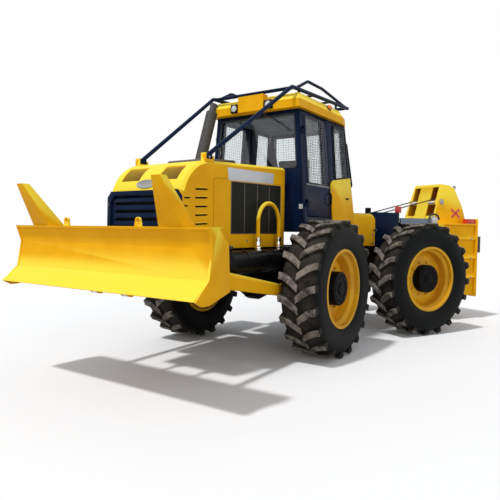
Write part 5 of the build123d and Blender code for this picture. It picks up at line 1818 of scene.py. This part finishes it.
@dataclass
class RearTrim:
    """Tower, winch and shield details: reflector, lamp faces, buffers, pipe arch, curb covers and shackle."""

    tower_low: Span = (1.590, 0.346)
    tower_high: Span = (2.250, 0.279)
    cross_x: Span = (-4.262, -4.072)
    cross_z: Span = (1.700, 1.835)
    cross_half: float = 0.019
    cross_lift: float = 0.001
    cross_thick: float = 0.004
    lamp_edge: float = 0.006
    box_lamp_x: float = -2.900
    lamp_rearward: float = -0.5
    buffer_x: Span = (-4.5006, -4.4305)
    buffer_y: Span = (0.4294, 0.5786)
    buffer_z: Span = (1.1114, 1.3826)
    buffer_edge: float = 0.004
    arch_y: float = 0.400
    arch: Profile = ((-3.470, 1.655), (-3.500, 1.735), (-3.650, 1.735), (-3.700, 1.655))
    arch_tube: Span = (0.016, 0.045)
    valve: tuple[Point, Point] = ((-3.640, 0.350, 1.590), (-3.520, 0.430, 1.680))
    valve_edge: float = 0.012
    valve_cap: Profile = ((0.0, 0.0), (0.026, 0.0), (0.026, 0.024), (0.012, 0.030), (0.0, 0.030))
    valve_cap_at: Point = (-3.580, 0.390, 1.678)
    curb_x: Span = (-3.515, -2.874)
    curb_sheets: tuple[tuple[Span, Span], ...] = (
        ((0.3705, 0.3745), (1.568, 1.660)), ((0.3445, 0.3745), (1.6575, 1.6620)),
    )
    shackle_y: float = 0.255
    shackle: Profile = ((-4.168, 2.196), (-4.212, 2.232), (-4.240, 2.204), (-4.204, 2.166))
    shackle_tube: Span = (0.009, 0.014)
    roller_cap: Profile = ((0.0, 0.0), (0.046, 0.0), (0.046, 0.010), (0.040, 0.014), (0.0, 0.014))
    roller_at: Span = (-3.845, 1.950)
    roller_lift: float = 0.001
    roller_lean: float = 0.1
    guide_at: Span = (-3.752, 1.935)
    guide_y: Span = (0.125, 0.262)
    guide_radius: float = 0.022
    fork_x: Span = (-3.805, -3.736)
    fork_z: Span = (1.914, 1.956)
    fork_half: float = 0.004
    fork_edge: float = 0.002
    guard_bolts: tuple[Point, ...] = (
        (-1.960, 0.375, 1.270), (-1.960, 0.375, 1.400), (-2.310, 0.375, 1.270), (-2.310, 0.375, 1.400),
        (-4.300, 0.560, 0.700), (-4.300, 0.560, 1.023), (-4.300, 0.560, 1.340),
    )
    shield_bolts: tuple[Point, ...] = (
        (-4.430, 0.100, 1.600), (-4.430, 0.100, 0.450), (-4.430, 0.300, 1.600), (-4.430, 0.300, 0.450),
        (-4.430, 0.530, 1.600), (-4.430, 0.530, 0.450),
    )
    bolt_size: Span = (0.013, 0.009)
    knob: Profile = ((0.0, 0.0), (0.012, 0.0), (0.012, 0.020), (0.020, 0.026), (0.020, 0.040), (0.0, 0.046))
    knob_at: Point = (-2.330, 0.375, 1.470)

    def tower_half(self, z: float) -> float:
        """Half width over the tower's sides at a height."""
        share = (z - self.tower_low[0]) / (self.tower_high[0] - self.tower_low[0])
        return self.tower_low[1] + share * (self.tower_high[1] - self.tower_low[1])

    def build(self, palette: Palette) -> None:
        """Make the rear half's trim.

        Args:
            palette: The finishes.
        """
        self.build_reflectors(palette)
        self.build_lamp_faces(palette)
        self.build_buffers(palette)
        self.build_arch(palette)
        self.build_curbs(palette)
        self.build_tower_parts(palette)
        self.build_fasteners(palette)

    def build_reflectors(self, palette: Palette) -> None:
        """Crossed red strips on the tower's left side."""
        strips = []
        (left, right), (low, high) = self.cross_x, self.cross_z
        for start, end in (((left, low), (right, high)), ((left, high), (right, low))):
            start, end = Vector((start[0], 0.0, start[1])), Vector((end[0], 0.0, end[1]))
            line = (end - start).normalized()
            wide = Vector((-line.z, 0, line.x)) * self.cross_half
            corners = [start + wide, end + wide, end - wide, start - wide]
            for corner in corners:
                corner.y = self.tower_half(corner.z) + self.cross_lift
            strips.append(plate(corners, (0.0, self.cross_thick, 0.0)))
        fitted(strips, "cross_reflector", (palette.red, "red_lens"), Half.REAR)

    def build_lamp_faces(self, palette: Palette) -> None:
        """Rear lamps, the right one on the box with its red face to the rear alone."""
        lamps = softened("rear_lamps", palette.red, self.lamp_edge)
        lamps.data.materials.append(palette.black)
        straight = REAR_PLACE.inverted()
        for face in lamps.data.polygons:
            middle = straight @ face.center
            facing = straight.to_3x3() @ face.normal
            if middle.x > self.box_lamp_x and middle.y < 0.0 and facing.x > self.lamp_rearward:
                face.material_index = 1

    def build_buffers(self, palette: Palette) -> None:
        """Black rubber pads over the shield's two buffers."""
        faces = (self.buffer_x, self.buffer_y, self.buffer_z)
        pads = [side_block(hand, *faces, self.buffer_edge, 3) for hand in HANDS]
        fitted(pads, "rubber_buffers", (palette.rubber, "dark_trim"), Half.REAR)

    def build_arch(self, palette: Palette) -> None:
        """Pipe arch over the valve by the tower's foot."""
        arch = tube_along([(x, self.arch_y, z) for x, z in self.arch], *self.arch_tube)
        fitted([arch], "valve_arch", (palette.rubber, "dark_trim"), Half.REAR)
        valve = block(*self.valve, self.valve_edge, 3)
        cap = settle(spun(self.valve_cap, KNOB_STEPS), Matrix.Translation(self.valve_cap_at))
        fitted([valve, cap], "valve_block", (palette.silver, "chrome"), Half.REAR)

    def build_curbs(self, palette: Palette) -> None:
        """Painted covers on the deck's side curbs."""
        covers = [side_block(hand, self.curb_x, y, z, SHEET_EDGE, 1)
                  for hand in HANDS for y, z in self.curb_sheets]
        fitted(covers, "curb_covers", (palette.slate, "navy_paint"), Half.REAR)

    def build_tower_parts(self, palette: Palette) -> None:
        """Shackle at the tower's head, caps on the roller shaft, and the two fairlead rollers in forks."""
        corners = [(x, self.shackle_y, z) for x, z in self.shackle]
        shackle = tube_along(corners, *self.shackle_tube, closed=True)
        fitted([shackle], "tower_shackle", (palette.iron, "dark_iron"), Half.REAR)
        caps, guides, forks = [], [], []
        x, z = self.roller_at
        for hand in HANDS:
            point = (x, hand * (self.tower_half(z) + self.roller_lift), z)
            caps.append(turned(self.roller_cap, point, (0, hand, self.roller_lean), CAP_STEPS))
        fitted(caps, "roller_caps", (palette.steel, "dark_iron"), Half.REAR)
        x, z = self.guide_at
        half = self.fork_half
        for hand in HANDS:
            inner, outer = sorted(hand * y for y in self.guide_y)
            guides.append(bar((x, inner + half, z), (x, outer - half, z), self.guide_radius))
            for y in (inner, outer):
                low = (self.fork_x[0], y - half, self.fork_z[0])
                high = (self.fork_x[1], y + half, self.fork_z[1])
                forks.append(block(low, high, self.fork_edge, 1))
        fitted(guides, "fairlead_rollers", (palette.silver, "chrome"), Half.REAR)
        fitted(forks, "fairlead_forks", (palette.yellow, "yellow_paint"), Half.REAR)

    def build_fasteners(self, palette: Palette) -> None:
        """Bolts of the winch guard and the shield, and the knob on the guard's left side."""
        seats = []
        for hand in HANDS:
            seats += side_seats(hand, self.guard_bolts, (0, hand, 0))
            seats += side_seats(hand, self.shield_bolts, -AHEAD)
        bolts = bolt_heads("rear_bolts", seats, *self.bolt_size)
        fitted([bolts], "rear_bolts", (palette.steel, "chrome"), Half.REAR)
        knob = turned(self.knob, self.knob_at, (0, 1, 0), KNOB_STEPS)
        fitted([knob], "winch_knob", (palette.rubber, "dark_trim"), Half.REAR)


class Studio:
    """Camera, lights, floor and background."""

    camera_at = Vector((6.327, 3.217, 1.459))
    yaw = 214.018
    pitch = -2.3154
    roll = 0.7342
    focal_pixels = 518.04
    frame_pixels = 500.0
    sensor = 36.0
    floor_size = 120.0
    floor_tones = ((0.86, 0.86, 0.86), (0.90, 0.90, 0.90))
    floor_cloud = (0.6, 3.0)
    floor_bounce = (0.46, 0.45, 0.44)
    floor_roughness = 0.9
    sky = (0.93, 0.96, 1.0)
    sky_strength = 0.52
    white = (1.0, 1.0, 1.0)
    lamp_height = 6.0
    lamps = (
        ("key", Vector((0.44, -0.13, 0.89)), 2.1, 4.0),
        ("fill", Vector((0.65, 0.70, 0.25)), 0.70, 40.0),
    )

    def build(self) -> None:
        """Set up everything that isn't the machine."""
        self.build_camera()
        self.build_floor()
        self.build_world()
        self.build_lamps()
        bpy.context.scene.view_settings.view_transform = "Standard"

    def build_camera(self) -> None:
        """Camera at the photograph's viewpoint."""
        yaw, pitch, roll = (math.radians(a) for a in (self.yaw, self.pitch, self.roll))
        ahead = Vector((math.cos(pitch) * math.cos(yaw), math.cos(pitch) * math.sin(yaw), math.sin(pitch)))
        right = ahead.cross(UP).normalized()
        upward = right.cross(ahead)
        right_rolled = right * math.cos(roll) + upward * math.sin(roll)
        up_rolled = -right * math.sin(roll) + upward * math.cos(roll)
        turn = Matrix((right_rolled, up_rolled, -ahead)).transposed().to_4x4()
        bpy.ops.object.camera_add()
        camera = bpy.context.object
        camera.matrix_world = Matrix.Translation(self.camera_at) @ turn
        camera.data.sensor_width = self.sensor
        camera.data.lens = self.focal_pixels / self.frame_pixels * self.sensor
        bpy.context.scene.camera = camera

    def seen(self, sheet: Sheet) -> bpy.types.NodeSocket:
        """1 for rays from the camera, off a gloss or through glass, and 0 for the light that bounces."""
        rays = sheet.add("ShaderNodeLightPath").outputs
        direct = sheet.math("MAXIMUM", rays["Is Camera Ray"], rays["Is Glossy Ray"])
        return sheet.math("MAXIMUM", direct, rays["Is Transmission Ray"])

    def build_floor(self) -> None:
        """A wide floor, pale where it is seen and duller in the light that it throws back."""
        bpy.ops.mesh.primitive_plane_add(size=self.floor_size)
        floor = bpy.context.object
        floor.name = "floor"
        material, sheet, shader = new_material("pale_floor")
        place = sheet.add("ShaderNodeTexCoord").outputs["Object"]
        cloud = sheet.noise(place, *self.floor_cloud)
        pale = sheet.mix(cloud, *(rgba(tone) for tone in self.floor_tones))
        colour = sheet.mix(self.seen(sheet), rgba(self.floor_bounce), pale)
        sheet.link(colour, shader.inputs["Base Color"])
        shader.inputs["Roughness"].default_value = self.floor_roughness
        floor.data.materials.append(material)

    def build_world(self) -> None:
        """Even pale light from all round, white to the camera."""
        world = bpy.data.worlds.new("studio")
        bpy.context.scene.world = world
        world.use_nodes = True
        sheet = Sheet(world.node_tree)
        world.node_tree.nodes.clear()
        light = sheet.add("ShaderNodeBackground", {"Color": rgba(self.sky), "Strength": self.sky_strength})
        white = sheet.add("ShaderNodeBackground", {"Color": rgba(self.white), "Strength": 1.0})
        shades = {0: self.seen(sheet), 1: light.outputs[0], 2: white.outputs[0]}
        both = sheet.add("ShaderNodeMixShader", shades)
        sheet.add("ShaderNodeOutputWorld", {"Surface": both.outputs[0]})

    def build_lamps(self) -> None:
        """A high key from the machine's right and a soft fill from its left."""
        for name, direction, energy, angle in self.lamps:
            bpy.ops.object.light_add(type="SUN")
            lamp = bpy.context.object
            lamp.name = name
            lamp.matrix_world = aimed(UP * self.lamp_height, direction)
            lamp.data.energy = energy
            lamp.data.angle = math.radians(angle)


class PlainPieces:
    """The CAD nodes that keep their shape: edges rounded on the fabricated ones, finish alone on the rest."""

    rounded = {
        "front_frame": 0.003, "rear_frame": 0.003, "hood": 0.006, "front_grille": 0.002, "hood_cover": 0.010,
        "cab_frame": 0.006, "cab_panels": 0.005, "cab_door_left": 0.005, "cab_door_right": 0.005,
        "blade": 0.004, "blade_horns": 0.005, "push_arms": 0.005, "winch_guard": 0.005,
        "rear_boxes": 0.006, "cable_tower": 0.004, "rear_shield": 0.005,
        "front_axle": 0.004, "rear_axle": 0.004, "engine_block": 0.010, "cab_controls": 0.004,
        "lift_barrels": 0.002, "steer_barrel_left": 0.002, "steer_barrel_right": 0.002,
    }
    smooth_only = (
        "cab_roof", "limb_guard", "exhaust_stack", "side_tanks", "hose_hoop", "winch_drums", "winch_cables",
        "tower_rollers", "lift_rods", "steer_rod_left", "steer_rod_right", "hood_screens", "cab_glass",
        "door_glass_left", "door_glass_right",
    )
    own_finish = {"hood_cover": "brown", "tower_rollers": "steel", "winch_cables": "cable"}

    def build(self, palette: Palette) -> None:
        """Dress every node that isn't remodelled elsewhere.

        Args:
            palette: The finishes.
        """
        for node, radius in self.rounded.items():
            softened(node, self.finish_of(node, palette), radius)
        for node in self.smooth_only:
            for slot in frame["nodes"][node].material_slots:
                slot.material = self.finish_of(node, palette)

    def finish_of(self, node: str, palette: Palette) -> bpy.types.Material:
        """The finish of a node: its own where it has one, or else its slot's."""
        if node in self.own_finish:
            return getattr(palette, self.own_finish[node])
        return palette.by_slot(slot_of(node))


def main() -> None:
    """Build the studio and the machine."""
    logging.basicConfig(level=logging.INFO, format="%(name)s: %(message)s")
    Studio().build()
    palette = Palette()
    Tyre().fit_all()
    Wheel().fit_all(palette)
    PlainPieces().build(palette)
    for group in (HoodTrim(), CabTrim(), SeatTrim(), FrontTrim(), RearTrim()):
        group.build(palette)
        log.info("group %s done", type(group).__name__)


if __name__ == "__main__":
    main()
